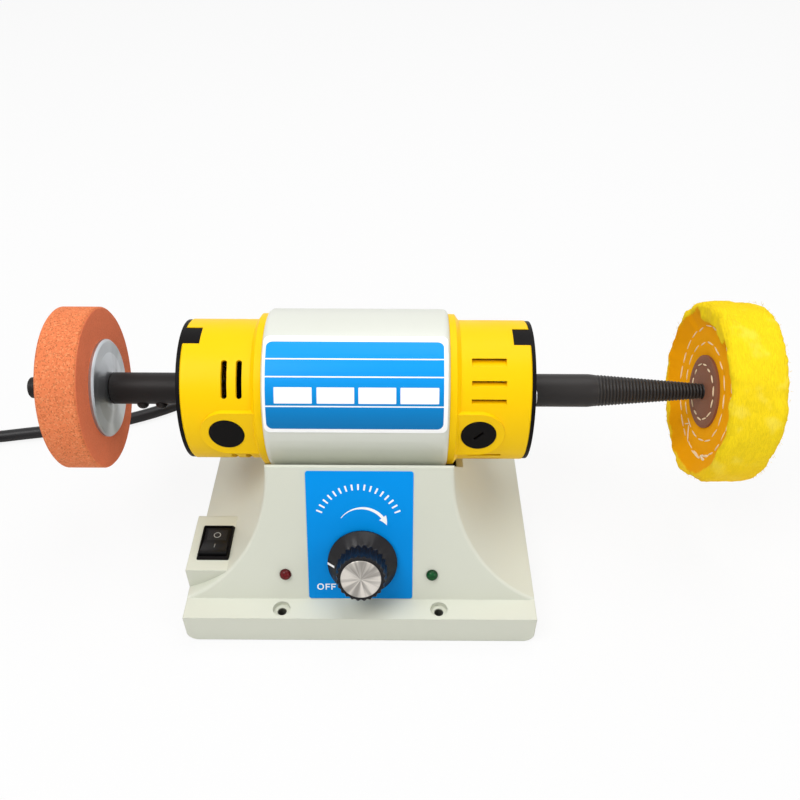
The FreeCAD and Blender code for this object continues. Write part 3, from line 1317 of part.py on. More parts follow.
def make_panel():
    middle = "panel_label_foot + panel_label_height / 2"
    label = panel_body("panel_label", "0", middle)
    extrude(label, "Pad", shaped(
        label, "XY_Plane",
        rounded("panel_label_width", "panel_label_height", "panel_label_corner"),
        rings=[("dial_x", f"dial_up - ({middle})", "bush_radius + bush_gap")]), "label_sheet")
    for node, side in (("red_lamp", "lamp_shift - lamp_x"), ("green_lamp", "lamp_shift + lamp_x")):
        lamp = panel_body(node, side, "lamp_up")
        back = "-(wall + lamp_flange_height)"
        spin(lamp, "Revolution", shaped(lamp, "XZ_Plane", [
            ("0", back), ("lamp_flange", back), ("lamp_flange", "-wall"),
            ("lamp_radius", "-wall"), ("lamp_radius", "0", "lamp_radius", 1),
            ("0", "lamp_radius"),
        ]), axis="V_Axis")
    pot = panel_body("speed_control", "dial_x", "dial_up")
    spin(pot, "Revolution", shaped(pot, "XZ_Plane", [
        ("dial_shaft_radius + dial_shaft_gap", "bush_proud"), ("bush_radius", "bush_proud"),
        ("bush_radius", "-wall"), ("pot_radius", "-wall"), ("pot_radius", "-wall - pot_depth"),
        ("0", "-wall - pot_depth"), ("0", "-dial_shaft_tail - dial_shaft_gap"),
        ("dial_shaft_radius + dial_shaft_gap", "-dial_shaft_tail - dial_shaft_gap"),
    ][::-1]), axis="V_Axis")
    nut = panel_body("ring_nut", "dial_x", "dial_up", "label_sheet")
    extrude(nut, "Pad", shaped(nut, "XY_Plane", hexagon("ring_nut_across"),
                               rings=[("0", "0", "bush_radius + fit_gap")]), "ring_nut_height")
    shaft = panel_body("dial_shaft", "dial_x", "dial_up", "-dial_shaft_tail")
    extrude(shaft, "Pad", shaped(shaft, "XY_Plane", rings=[("0", "0", "dial_shaft_radius")]),
            "dial_shaft_tail + dial_shaft_proud")
    make_knob()


def make_knob():
    knob = panel_body("speed_knob", "dial_x", "dial_up", "label_sheet + knob_clear")
    top = "knob_height"
    socket = "knob_socket_depth"
    reach = "dial_shaft_proud - label_sheet - knob_clear + fit_gap"
    bore = "dial_shaft_radius + fit_gap"
    spin(knob, "Revolution", shaped(knob, "XZ_Plane", [
        ("knob_socket", "0"), ("skirt_radius", "0"), ("skirt_radius", "skirt_edge"),
        ("grip_foot_radius", "skirt_height"), ("grip_radius", f"{top} - knob_edge"),
        ("grip_radius - knob_edge", top), ("knob_cap_radius + knob_cap_gap", top),
        ("knob_cap_radius + knob_cap_gap", f"{top} - knob_cap_sink"),
        ("0", f"{top} - knob_cap_sink"), ("0", reach), (bore, reach), (bore, socket),
        ("knob_socket", socket),
    ]), axis="V_Axis")
    flute = extrude(knob, "Pocket", shaped(
        knob, "XY_Plane", rings=[("grip_foot_radius", "0", "flute_radius")], lift="flute_foot"),
        "knob_height", back=True)
    around(knob, [flute], "Z_Axis", "flute_count")
    cap = panel_body("knob_cap", "dial_x", "dial_up",
                     f"label_sheet + knob_clear + {top} - knob_cap_sink")
    extrude(cap, "Pad", shaped(cap, "XY_Plane", rings=[("0", "0", "knob_cap_radius")]),
            "knob_cap_sheet")


# Speed control board inside the base


def make_board():
    keep(block(("board_length", "board_width", "board_sheet"),
               ("board_x - board_length / 2", "board_y - board_width / 2", BOARD_Z)),
         "control_board")
    spacers = []
    for sx in (-1, 1):
        for sy in (-1, 1):
            spacers.append(rod("spacer_radius", "spacer_height", (
                f"board_x + {sx} * (board_length / 2 - spacer_inset)",
                f"board_y + {sy} * (board_width / 2 - spacer_inset)", PLATE_TOP)))
    group("board_spacers", spacers)
    top = f"{BOARD_Z} + board_sheet"
    can_x = "board_x - board_length / 2 + spacer_inset + can_radius"
    choke_x = "board_x + board_length / 2 - spacer_inset - choke_radius"
    behind = "board_y - board_width / 2 + terminal_width + part_gap"
    left = f"{can_x} + can_radius + part_gap"
    back = "board_y + board_width / 2 - sink_fin - sink_inset"
    plate = block(("sink_length", "sink_sheet", "sink_height"), (left, back, top))
    fins = [block(("sink_sheet", "sink_fin", "sink_height"), (
        f"{left} + {i} * (sink_length - sink_sheet) / (sink_fins - 1)", back, top))
        for i in range(int(value("sink_fins")))]
    keep(fuse(plate, *fins), "heat_sink")
    keep(rod("can_radius", "can_height", (can_x, f"{behind} + can_radius", top)),
         "filter_capacitor")
    keep(pipe("choke_radius", "choke_core", "choke_height", (
        choke_x, f"{behind} + choke_radius", top)), "filter_choke")
    keep(block(("terminal_length", "terminal_width", "terminal_height"), (
        "board_x - terminal_length / 2", "board_y - board_width / 2", top)), "terminal_block")


# Supply cord: gland, free run, coil, tie and plug

GROOVE_SHARES = (0.35, 0.75)
BEND_SHARE = 0.45
FREE_RUN = [
    (-12, 132), (-27.6, 152.5), (-52.3, 159), (-76, 149), (-90, 127), (-103, 104.5),
    (-120, 86), (-144.5, 72.5), (-171, 67.5), (-197, 65), (-221, 60), (-243, 57.5),
    (-262, 57.5)]
FIRST_DROP = 6
COIL_QUARTERS = 21
CLIMB_QUARTERS = 2
STRAIGHT = 1e-9
LOOK_AHEAD = 0.001


def make_gland():
    gland = make_body("cord_gland", ("gland_x", "base_depth / 2", GLAND_Z))
    inner_end = "-(wall + gland_collar_width)"
    outline = [
        ("0", inner_end), ("gland_collar", inner_end), ("gland_collar", "-wall"),
        ("gland_neck", "-wall"), ("gland_neck", "0"), ("gland_flange", "0"),
        ("gland_flange", "gland_flange_width"), ("sleeve_root", "gland_flange_width"),
    ]
    count = int(value("sleeve_rings"))
    step = "(sleeve_length / sleeve_rings)"
    for i in range(count):
        for share, depths in zip(GROOVE_SHARES, (("0", "sleeve_groove"), ("sleeve_groove", "0"))):
            along = f"({i} + {share}) * {step}"
            radius = f"sleeve_root - (sleeve_root - sleeve_tip) * ({i} + {share}) / sleeve_rings"
            outline += [(f"{radius} - {depth}", f"gland_flange_width + {along}")
                        for depth in depths]
    outline += [("sleeve_tip", "gland_flange_width + sleeve_length"),
                ("0", "gland_flange_width + sleeve_length")]
    spin(gland, "Revolution", shaped(gland, "XY_Plane", outline), axis="V_Axis")


def arc_through(start, heading, stop):
    """The arc that leaves a point along a heading and ends at another point."""
    chord = stop - start
    along = Vector(chord).normalize()
    side = heading - along * heading.dot(along)
    if side.Length < STRAIGHT:
        return Part.LineSegment(start, stop), heading
    half_turn = math.atan2(side.Length, heading.dot(along))
    middle = (start + stop) / 2 + side.normalize() * (chord.Length / 2 * math.tan(half_turn / 2))
    leaving = along * (2 * heading.dot(along)) - heading
    return Part.Arc(start, middle, stop), leaving


def biarc(start, heading, stop, leaving):
    """Two arcs that join two points with given headings."""
    gap = stop - start
    both = heading + leaving
    spread = 2 * (1 - heading.dot(leaving))
    lean = gap.dot(both)
    if spread < STRAIGHT:
        reach = gap.dot(gap) / (2 * lean)
    else:
        reach = (-lean + math.sqrt(lean ** 2 + spread * gap.dot(gap))) / spread
    joint = (start + stop + (heading - leaving) * reach) / 2
    first, turned = arc_through(start, heading, joint)
    second, _ = arc_through(joint, turned, stop)
    return [first, second]


def swept(edges, radius):
    """A round tube along tangent edges."""
    path = Part.Wire([edge.toShape() for edge in edges])
    start = path.Edges[0]
    point = start.valueAt(start.FirstParameter)
    heading = start.tangentAt(start.FirstParameter)
    section = Part.Wire([Part.Circle(point, heading, radius).toShape()])
    return path, path.makePipeShell([section], True, False)


def cord_route():
    """Corners of the cord's free run: out of the gland, down to the bench and to the coil."""
    start = Vector(value("gland_x"), value("base_depth / 2 + gland_flange_width + sleeve_length"),
                   value(GLAND_Z))
    bench = value("cord_radius + cord_lift")
    coil = value("cord_radius + coil_lift")
    heights = [start.z, FIRST_DROP] + [bench] * (len(FREE_RUN) - 4) + [coil, coil]
    return [start] + [Vector(x, y, z) for (x, y), z in zip(FREE_RUN, heights)]


def rounded_path(corners):
    """Straight runs joined by tangent arcs, as large as the runs beside each corner allow."""
    edges, radii, at = [], [], corners[0]
    for before, corner, after in zip(corners, corners[1:], corners[2:]):
        arriving, leaving = corner - before, after - corner
        turn = arriving.getAngle(leaving)
        reach = BEND_SHARE * min(arriving.Length, leaving.Length)
        radii.append(reach / math.tan(turn / 2))
        into = corner - Vector(arriving).normalize() * reach
        out = corner + Vector(leaving).normalize() * reach
        edges.append(Part.LineSegment(at, into))
        arc, _ = arc_through(into, Vector(arriving).normalize(), out)
        edges.append(arc)
        at = out
    edges.append(Part.LineSegment(at, corners[-1]))
    return edges, radii


def coil_places():
    """Points and headings of the coil, a quarter turn apart: in on the lower layer, up in the
    half turn where the spiral reverses, and out on the upper layer."""
    entry = cord_route()[-1]
    quarters = COIL_QUARTERS
    each_way = (quarters - CLIMB_QUARTERS) / 2
    middle, pitch = value("coil_middle"), value("coil_pitch")
    outer = middle + pitch * quarters / 16
    centre = Vector(entry.x, entry.y - outer, 0)
    low, rise = entry.z, value("coil_layer")

    def spot(q):
        radius = outer - pitch * min(q, quarters - q) / 4
        lifted = min(max((q - each_way) / CLIMB_QUARTERS, 0), 1)
        height = low + rise * (1 - math.cos(math.pi * lifted)) / 2
        angle = math.pi / 2 + q * math.pi / 2
        return centre + Vector(radius * math.cos(angle), radius * math.sin(angle), height)

    places = []
    for q in range(quarters + 1):
        ahead = spot(min(q + LOOK_AHEAD, quarters)) - spot(max(q - LOOK_AHEAD, 0))
        if q in (0, quarters):
            angle = math.pi + q * math.pi / 2
            ahead = Vector(math.cos(angle), math.sin(angle), 0)
        places.append((spot(q), ahead.normalize()))
    return centre, places


def least_gap(path, radius, lead):
    """The least gap between stretches of a tube that are not neighbours on its path."""
    steps = int(path.Length / (radius / 2))
    spots = path.discretize(steps)
    spacing = path.Length / (steps - 1)
    skip = int(lead / spacing)
    best = path.Length
    for i, a in enumerate(spots):
        for b in spots[i + skip:]:
            best = min(best, a.distanceToPoint(b))
    return best - 2 * radius


def feature(node, shape):
    thing = doc.addObject("Part::Feature", node + "_shape")
    thing.Shape = shape
    return keep(thing, node)


def make_cord():
    radius = value("cord_radius")
    edges, radii = rounded_path(cord_route())
    print("cord radii", [round(r, 1) for r in radii])
    path, tube = swept(edges, radius)
    whole = math.pi * radius ** 2 * path.Length
    print(f"free cord length {path.Length:.1f}, volume share {tube.Volume / whole:.4f}")
    feature("power_cord", tube)
    centre, places = coil_places()
    turns = []
    for (a, heading), (b, leaving) in zip(places, places[1:]):
        turns += biarc(a, heading, b, leaving)
    end, heading = places[-1]
    plug_at = end + heading * value("plug_lead")
    tail = Part.LineSegment(end, plug_at)
    path, coil = swept(turns + [tail], radius)
    whole = math.pi * radius ** 2 * path.Length
    print(f"coil length {path.Length:.1f}, volume share {coil.Volume / whole:.4f}")
    print(f"coil least gap {least_gap(path, radius, 6 * radius):.2f}")
    feature("cord_coil", coil)
    make_tie(centre, places)
    make_power_plug(plug_at, heading)


def make_tie(centre, places):
    """A flat band round both layers of the coil, at its right-hand side."""
    spots = [p for p, _ in places if p.x - centre.x > abs(p.y - centre.y)]
    reach = value("cord_radius + tie_gap")
    low = min(p.z for p in spots) - reach
    high = max(p.z for p in spots) + reach
    near = min(p.x for p in spots) - reach
    far = max(p.x for p in spots) + reach
    sheet_thick, width = value("tie_sheet"), value("tie_width")
    corner = value("cord_radius")

    def band(grow):
        box = Part.makeBox(far - near + 2 * grow, width, high - low + 2 * grow,
                           Vector(near - grow, centre.y - width / 2, low - grow))
        along = [e for e in box.Edges if abs(e.tangentAt(e.FirstParameter).y) > 0.9]
        return box.makeFillet(corner + grow, along)

    feature("cord_tie", band(sheet_thick).cut(band(0)))


def make_power_plug(at, heading):
    """A moulded two-pin plug that lies on the bench at the coil's end."""
    half = at.z - value("cord_lift")
    tail = value("plug_tail_length")
    length, width = value("plug_body_length"), value("plug_body_width")
    nose, corner = value("plug_body_nose"), value("plug_round")
    sleeve = Part.makeCone(value("plug_tail_tip"), value("plug_tail_radius"), tail + corner,
                           Vector(0, 0, 0), Z_AXIS)
    profiles = []
    for station, across in ((tail, value("plug_body_neck")),
                            (tail + value("plug_body_swell"), width), (tail + length, nose)):
        square = Part.makePolygon([
            Vector(-across / 2, -half, station), Vector(across / 2, -half, station),
            Vector(across / 2, half, station), Vector(-across / 2, half, station),
            Vector(-across / 2, -half, station)])
        profiles.append(square)
    body = Part.makeLoft(profiles, True, True)
    body = body.makeFillet(corner, [e for e in body.Edges
                                    if abs(e.tangentAt(e.FirstParameter).z) > 0.5])
    turn = FreeCAD.Rotation(Z_AXIS, heading)
    upright = FreeCAD.Rotation(heading, -math.degrees(
        math.atan2(turn.multVec(Y_AXIS).cross(Z_AXIS).dot(heading),
                   turn.multVec(Y_AXIS).dot(Z_AXIS))) * -1)
    placing = FreeCAD.Placement(at, upright.multiply(turn))
    plug = feature("power_plug", body.fuse(sleeve).removeSplitter())
    plug.Placement = placing
    pins = [Part.makeCylinder(value("pin_radius"), value("pin_length"),
                              Vector(side * value("pin_half"), 0, tail + length), Z_AXIS)
            for side in (-1, 1)]
    prongs = feature("plug_pins", Part.makeCompound(pins))
    prongs.Placement = placing


make_base_housing()
make_bottom()
make_barrel()
make_end_cap("left", "180")
make_end_cap("right", "0")
make_end_plate_screws()
make_plugs("blank_plugs", "-plug_station", False)
make_plugs("brush_caps", "brush_station", True)
make_brush_gear()
make_stator()
make_rotor()
make_left_end()
make_right_end()
make_switch()
make_panel()
make_board()
make_gland()
make_cord()
doc.recompute()

failed = [thing.Label for thing in doc.Objects
          if "Invalid" in thing.State or "Error" in thing.State]
if failed:
    raise RuntimeError("objects that failed: " + ", ".join(failed))
for node, thing in nodes.items():
    if thing.Shape.isNull() or not thing.Shape.isValid():
        raise RuntimeError("no valid shape: " + node)

os.makedirs("parts", exist_ok=True)
for node, thing in nodes.items():
    thing.Shape.exportStep(os.path.join("parts", node + ".step"))
print(f"{len(nodes)} sub-parts")
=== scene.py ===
"""Looks of a bench polishing and buffing lathe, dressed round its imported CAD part.

The frame is the part's own: metres, the origin on the bench in the middle of the base, X along
the motor shaft with the buff at +X, Y towards the back and Z up.
"""

import json
import logging
import math
from collections.abc import Callable, Sequence
from dataclasses import dataclass, field
from enum import Enum

import bmesh
import bpy
from mathutils import Matrix, Vector, noise

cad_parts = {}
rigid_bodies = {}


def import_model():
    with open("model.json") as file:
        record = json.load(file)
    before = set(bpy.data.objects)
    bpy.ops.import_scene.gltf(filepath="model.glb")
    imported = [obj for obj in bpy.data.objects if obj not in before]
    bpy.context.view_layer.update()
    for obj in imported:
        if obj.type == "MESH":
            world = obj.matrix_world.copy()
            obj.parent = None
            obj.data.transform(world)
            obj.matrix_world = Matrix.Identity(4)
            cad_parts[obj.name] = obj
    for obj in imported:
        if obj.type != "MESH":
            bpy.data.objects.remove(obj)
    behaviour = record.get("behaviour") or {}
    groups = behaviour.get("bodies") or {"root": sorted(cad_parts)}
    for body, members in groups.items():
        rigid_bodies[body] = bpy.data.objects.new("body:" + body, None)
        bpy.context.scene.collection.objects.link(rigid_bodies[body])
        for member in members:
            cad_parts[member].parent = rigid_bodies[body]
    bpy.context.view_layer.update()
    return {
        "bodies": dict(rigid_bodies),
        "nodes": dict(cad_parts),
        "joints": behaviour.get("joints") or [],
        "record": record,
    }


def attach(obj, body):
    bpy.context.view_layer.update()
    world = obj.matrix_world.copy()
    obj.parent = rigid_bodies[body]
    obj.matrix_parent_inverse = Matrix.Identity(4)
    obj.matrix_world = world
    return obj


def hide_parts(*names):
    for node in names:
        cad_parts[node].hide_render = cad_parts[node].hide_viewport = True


LOG = logging.getLogger("lathe")
MM = 0.001
TO_MM = 1000.0
TO_DEGREES = 180 / math.pi
DOUBLES = 1e-6
FLAP_TURN = -0.14
FLAP_EDGE = 0.905
SHAFT = Vector((0.0, 7.1, 81.4)) * MM
MOTOR_X = -1.5 * MM
PANEL_FOOT = Vector((0.0, -66.1, 16.6)) * MM
PANEL_TILT = math.radians(24.4)
UP_PANEL = Vector((0.0, math.sin(PANEL_TILT), math.cos(PANEL_TILT)))
OUT_OF_PANEL = Vector((0.0, -math.cos(PANEL_TILT), math.sin(PANEL_TILT)))
DIAL = PANEL_FOOT + Vector((1.05, 0.0, 0.0)) * MM + UP_PANEL * 19.1 * MM

Colour = tuple[float, float, float, float]
Place = tuple[float, float, float]


def srgb(red: float, green: float, blue: float) -> Colour:
    """Turn a colour as it is seen, 0 to 255, into the renderer's linear one.

    Args:
        red, green, blue: The colour as seen.

    Returns:
        The linear colour with full alpha.
    """
    linear = []
    for channel in (red, green, blue):
        share = channel / 255
        linear.append(share / 12.92 if share <= 0.04045 else ((share + 0.055) / 1.055) ** 2.4)
    return (*linear, 1.0)


def shade(colour: Colour, factor: float) -> Colour:
    """Make a colour lighter or darker.

    Args:
        colour: A linear colour.
        factor: Below 1 is darker.

    Returns:
        The new colour.
    """
    return (*(min(channel * factor, 1.0) for channel in colour[:3]), 1.0)


class Term:
    """A node socket that takes part in Python sums."""

    def __init__(self, graph: "Graph", socket: bpy.types.NodeSocket) -> None:
        """Keep the socket and the graph that it is in."""
        self.graph = graph
        self.socket = socket

    def __add__(self, other: "Term | float") -> "Term":
        """Add."""
        return self.graph.math("ADD", self, other)

    __radd__ = __add__

    def __sub__(self, other: "Term | float") -> "Term":
        """Subtract."""
        return self.graph.math("SUBTRACT", self, other)

    def __rsub__(self, other: "Term | float") -> "Term":
        """Subtract this from a number."""
        return self.graph.math("SUBTRACT", other, self)

    def __mul__(self, other: "Term | float") -> "Term":
        """Multiply."""
        return self.graph.math("MULTIPLY", self, other)

    __rmul__ = __mul__

    def __truediv__(self, other: "Term | float") -> "Term":
        """Divide."""
        return self.graph.math("DIVIDE", self, other)

    def __mod__(self, other: "Term | float") -> "Term":
        """What is left over a whole number of steps, never negative."""
        return self.graph.math("FLOORED_MODULO", self, other)

    def __neg__(self) -> "Term":
        """Change the sign."""
        return self.graph.math("MULTIPLY", self, -1.0)

    def __abs__(self) -> "Term":
        """Drop the sign."""
        return self.graph.math("ABSOLUTE", self)

    def at_least(self, other: "Term | float") -> "Term":
        """The larger of the two."""
        return self.graph.math("MAXIMUM", self, other)

    def at_most(self, other: "Term | float") -> "Term":
        """The smaller of the two."""
        return self.graph.math("MINIMUM", self, other)

    def sine(self) -> "Term":
        """Its sine."""
        return self.graph.math("SINE", self)

    def root(self) -> "Term":
        """Its square root."""
        return self.graph.math("SQRT", self)

    def between(self, low: float, high: float) -> "Term":
        """Rise smoothly from 0 to 1 between two values.

        Args:
            low: Where it is 0.
            high: Where it is 1. Below low, it falls instead.

        Returns:
            The smooth step.
        """
        if low > high:
            return 1.0 - self.between(high, low)
        return self.graph.term(
            "ShaderNodeMapRange", {"interpolation_type": "SMOOTHSTEP"},
            {"Value": self, "From Min": low, "From Max": high})


class Graph:
    """The nodes of one material."""

    def __init__(self, name: str) -> None:
        """Make a material that has only its surface shader.

        Args:
            name: The material's name.
        """
        self.material = bpy.data.materials.new(name)
        self.material.use_nodes = True
        self.tree = self.material.node_tree
        self.shader = self.tree.nodes["Principled BSDF"]

    def feed(self, socket: bpy.types.NodeSocket, value: object) -> None:
        """Give a socket a link or a value.

        Args:
            socket: The socket.
            value: The link or the value.
        """
        if isinstance(value, Term):
            self.tree.links.new(value.socket, socket)
        else:
            socket.default_value = value

    def node(self, kind: str, settings: dict | None = None,
             values: dict | None = None) -> bpy.types.Node:
        """Add a node.

        Args:
            kind: Its type.
            settings: Its own settings, set first. "stops" are a ramp's places and colours.
            values: The value or link of each socket that isn't left alone.

        Returns:
            The node.
        """
        node = self.tree.nodes.new(kind)
        for key, setting in (settings or {}).items():
            if key != "stops":
                setattr(node, key, setting)
                continue
            elements = node.color_ramp.elements
            while len(elements) < len(setting):
                elements.new(0.5)
            for element, (position, colour) in zip(elements, setting):
                element.position = position
                element.color = colour
        for key, value in (values or {}).items():
            self.feed(node.inputs[key], value)
        return node

    def term(self, kind: str, settings: dict | None = None, values: dict | None = None,
             output: int | str = 0) -> Term:
        """Add a node and take one of its outputs.

        Args:
            kind: Its type.
            settings: Its own settings.
            values: Its sockets.
            output: Which output.

        Returns:
            The output.
        """
        return Term(self, self.node(kind, settings, values).outputs[output])

    def math(self, operation: str, *values: "Term | float") -> Term:
        """Work out a number."""
        return self.term("ShaderNodeMath", {"operation": operation}, dict(enumerate(values)))

    def mix(self, factor: "Term | float", low: object, high: object) -> Term:
        """Blend two colours."""
        return self.term("ShaderNodeMix", {"data_type": "RGBA"},
                         {0: factor, 6: low, 7: high}, 2)

    def position(self, centre: Place = (0.0, 0.0, 0.0), scale: Place = (1.0, 1.0, 1.0)) -> Term:
        """Where the surface is, in metres.

        Args:
            centre: The point that counts as zero.
            scale: How much each axis counts.

        Returns:
            The place as a vector.
        """
        place = self.term("ShaderNodeTexCoord", output="Object")
        if centre == (0.0, 0.0, 0.0) and scale == (1.0, 1.0, 1.0):
            return place
        offset = tuple(-c * s for c, s in zip(centre, scale))
        return self.term("ShaderNodeMapping", None,
                         {"Vector": place, "Location": offset, "Scale": scale})

    def split(self, vector: Term) -> tuple[Term, Term, Term]:
        """Take a vector apart."""
        node = self.node("ShaderNodeSeparateXYZ", None, {"Vector": vector})
        return tuple(Term(self, node.outputs[i]) for i in range(3))

    def on_panel(self, origin: Vector) -> tuple[Term, Term, Term]:
        """Places across, up and out of the control panel, in millimetres.

        Args:
            origin: The point that counts as zero.

        Returns:
            The three places.
        """
        x, y, z = self.split(self.position(tuple(origin)))
        return (x * TO_MM, (y * UP_PANEL.y + z * UP_PANEL.z) * TO_MM,
                (y * OUT_OF_PANEL.y + z * OUT_OF_PANEL.z) * TO_MM)

    def noise(self, place: Term, scale: float, detail: float = 3.0,
              distortion: float = 0.0) -> Term:
        """Cloudy noise from 0 to 1.

        Args:
            place: Where to read it.
            scale: Clouds per metre.
            detail: How many finer layers it has.
            distortion: How much it is stirred.

        Returns:
            The noise.
        """
        return self.term("ShaderNodeTexNoise", None, {
            "Vector": place, "Scale": scale, "Detail": detail, "Distortion": distortion}, "Fac")

    def cells(self, place: Term, scale: float, feature: str = "F1", output: str = "Distance"
              ) -> Term:
        """Cells like grains."""
        return self.term("ShaderNodeTexVoronoi", {"feature": feature},
                         {"Vector": place, "Scale": scale}, output)

    def bump(self, height: Term, depth: float, normal: Term | None = None) -> Term:
        """A normal that follows a height.

        Args:
            height: The height, 0 to 1.
            depth: How much 1 stands for, in metres.
            normal: The normal to start from.

        Returns:
            The normal.
        """
        values = {"Height": height, "Distance": depth, "Strength": 1.0}
        if normal is not None:
            values["Normal"] = normal
        return self.term("ShaderNodeBump", None, values)

    def soft_edges(self, radius: float) -> Term:
        """A normal that rounds sharp edges a little."""
        return self.term("ShaderNodeBevel", {"samples": 4}, {"Radius": radius})

    def surface(self, **sockets: object) -> None:
        """Set the shader's sockets, named with underscores for spaces."""
        for key, value in sockets.items():
            self.feed(self.shader.inputs[key.replace("_", " ")], value)


class Axis(Enum):
    """The line that a turned finish goes round."""

    SHAFT = "shaft"
    PANEL = "panel"


@dataclass(frozen=True)
class Finish:
    """A plain finish. Each other finish adds to it."""

    name: str
    colour: Colour
    roughness: float = 0.5
    metallic: float = 0.0
    edge: float = 0.0
    grain: float = 2500.0
    grain_depth: float = 0.02
    patch: float = 25.0
    variation: float = 0.05
    coat: float = 0.0
    shine: float = 0.5

    def make(self) -> bpy.types.Material:
        """Make the material.

        Returns:
            The finished material.
        """
        graph = Graph(self.name)
        graph.surface(Roughness=self.roughness, Metallic=self.metallic, Coat_Weight=self.coat,
                      Specular_IOR_Level=self.shine)
        self.dress(graph)
        return graph.material

    def dress(self, graph: Graph) -> None:
        """Give the material its colour, gloss and surface.

        Args:
            graph: The material's nodes.
        """
        place = graph.position()
        graph.surface(
            Base_Color=self.tone(graph, place),
            Roughness=self.gloss(graph, place),
            Normal=self.relief(graph, graph.noise(place, self.grain, 2.0)))

    def tint(self, graph: Graph, factor: Term, low: float, high: float) -> Term:
        """Blend two shades of the finish's own colour."""
        return graph.mix(factor, shade(self.colour, low), shade(self.colour, high))

    def tone(self, graph: Graph, place: Term) -> Term:
        """The colour with slow changes.

        Args:
            graph: The material's nodes.
            place: Where the surface is.

        Returns:
            The colour.
        """
        clouds = graph.noise(place, self.patch, 4.0)
        return self.tint(graph, clouds, 1 - self.variation, 1 + self.variation)

    def gloss(self, graph: Graph, place: Term) -> Term:
        """The roughness with slow changes."""
        return self.roughness - 0.06 + 0.12 * graph.noise(place, self.patch * 3, 3.0)

    def relief(self, graph: Graph, height: Term) -> Term:
        """The normal from a height and softened edges."""
        normal = graph.soft_edges(self.edge) if self.edge else None
        return graph.bump(height, self.grain_depth * MM, normal)


@dataclass(frozen=True)
class Moulding(Finish):
    """Moulded plastic or sprayed paint, with dust and faint scuffs."""

    scuff: float = 0.02

    def tone(self, graph: Graph, place: Term) -> Term:
        """The colour with slow changes and a few darker specks.

        Args:
            graph: The material's nodes.
            place: Where the surface is.

        Returns:
            The colour.
        """
        base = super().tone(graph, place)
        specks = graph.noise(place, 900.0, 1.0).between(0.74, 0.80)
        return graph.mix(specks * self.scuff * 4, base, shade(self.colour, 0.75))

    def gloss(self, graph: Graph, place: Term) -> Term:
        """Faint long scuffs that dull the gloss.

        Args:
            graph: The material's nodes.
            place: Where the surface is.

        Returns:
            The roughness.
        """
        stretched = graph.position(scale=(1.0, 6.0, 3.0))
        scuffs = graph.noise(stretched, 220.0, 5.0, 0.6).between(0.60, 0.72)
        return super().gloss(graph, place) + scuffs * self.scuff * 5


@dataclass(frozen=True)
class Housing(Moulding):
    """The base's moulded plastic, with painted shade on the walls of its bench screw holes."""

    hole_x: float = 35.85
    hole_y: float = 71.65
    hole_radius: float = 2.1
    hole_top: float = 14.1

    def tone(self, graph: Graph, place: Term) -> Term:
        """The colour, with painted shade down in the holes.

        Args:
            graph: The material's nodes.
            place: Where the surface is.

        Returns:
            The colour.
        """
        x, y, z = graph.split(place)
        across, back = abs(x) - self.hole_x * MM, abs(y) - self.hole_y * MM
        radius = (across * across + back * back).root()
        # Painted shade: the hole walls below the counterbore seat go dark.
        painted_hole_shade = radius.between(1.12 * self.hole_radius * MM, 1.04 * self.hole_radius * MM) * (
            z.between(self.hole_top * MM, (self.hole_top - 1.0) * MM))
        return graph.mix(painted_hole_shade * 0.85, super().tone(graph, place), srgb(40, 41, 34))


@dataclass(frozen=True)
class Turned(Finish):
    """Metal that was turned or spun, with fine grooves round an axis."""

    axis: Axis = Axis.SHAFT
    groove: float = 0.28
    along: bool = False
    # The next two fields set painted reflection: lighter and darker sectors round the axis.
    painted_fans: float = 0.0
    painted_fan_low: float = 0.45

    def dress(self, graph: Graph) -> None:
        """Fine grooves, streaks along them, and painted reflection: lighter and darker sectors
        round the axis.

        Args:
            graph: The material's nodes.
        """
        x, y, z = graph.split(graph.position(tuple(SHAFT if self.axis is Axis.SHAFT else DIAL)))
        if self.axis is Axis.SHAFT:
            across, up = y, z
        else:
            across, up = x, y * UP_PANEL.y + z * UP_PANEL.z
        radius = (across * across + up * up).root().at_least(0.01 * MM)
        travel = x if self.along else radius
        wave = (travel / (self.groove * MM) * math.tau).sine() * 0.5 + 0.5
        uneven = graph.noise(graph.term("ShaderNodeCombineXYZ", None, {"X": travel}), 4000.0)
        base = self.tint(graph, uneven, 0.86, 1.1)
        gloss = self.gloss(graph, graph.position()) + uneven * 0.08
        # Painted reflection: sectors of lighter and darker metal round the axis, in place of real
        # highlights.
        if self.painted_fans:
            heading = graph.term("ShaderNodeCombineXYZ", None, {
                "X": across / radius, "Y": up / radius, "Z": radius * 20.0})
            painted_reflection_fan = graph.noise(heading, self.painted_fans, 2.0).between(0.37, 0.62)
            base = graph.mix(painted_reflection_fan, shade(self.colour, self.painted_fan_low), base)
            gloss = gloss + (1.0 - painted_reflection_fan) * 0.1
        graph.surface(Base_Color=base, Roughness=gloss,
                      Normal=self.relief(graph, wave * 0.7 + uneven * 0.6))


@dataclass(frozen=True)
class Thread(Moulding):
    """Blackened steel with painted shade in the grooves of its thread."""

    thread_from: float = 108.6
    pitch: float = 1.585

    def tone(self, graph: Graph, place: Term) -> Term:
        """The colour, with painted shade in the grooves and lighter ridges, partly wear and
        partly painted highlight.

        Args:
            graph: The material's nodes.
            place: Where the surface is.

        Returns:
            The colour.
        """
        x, y, z = graph.split(graph.position((0.0, SHAFT.y, SHAFT.z)))
        turn = graph.math("ARCTAN2", z, y) / math.tau
        ridge = 1.0 - abs((x / (self.pitch * MM) - turn) % 1.0 * 2.0 - 1.0)
        threaded = x.between(self.thread_from * MM, (self.thread_from + 1.0) * MM)
        # Lighter ridges: partly wear, partly painted highlight.
        worn_and_lit_ridges = graph.mix(ridge.between(0.62, 1.0) * threaded * 0.16,
                         super().tone(graph, place), srgb(96, 90, 82))
        # Painted shade: the grooves of the thread turn near black.
        return graph.mix(ridge.between(0.5, 0.15) * threaded * 0.85, worn_and_lit_ridges, srgb(8, 7, 6))


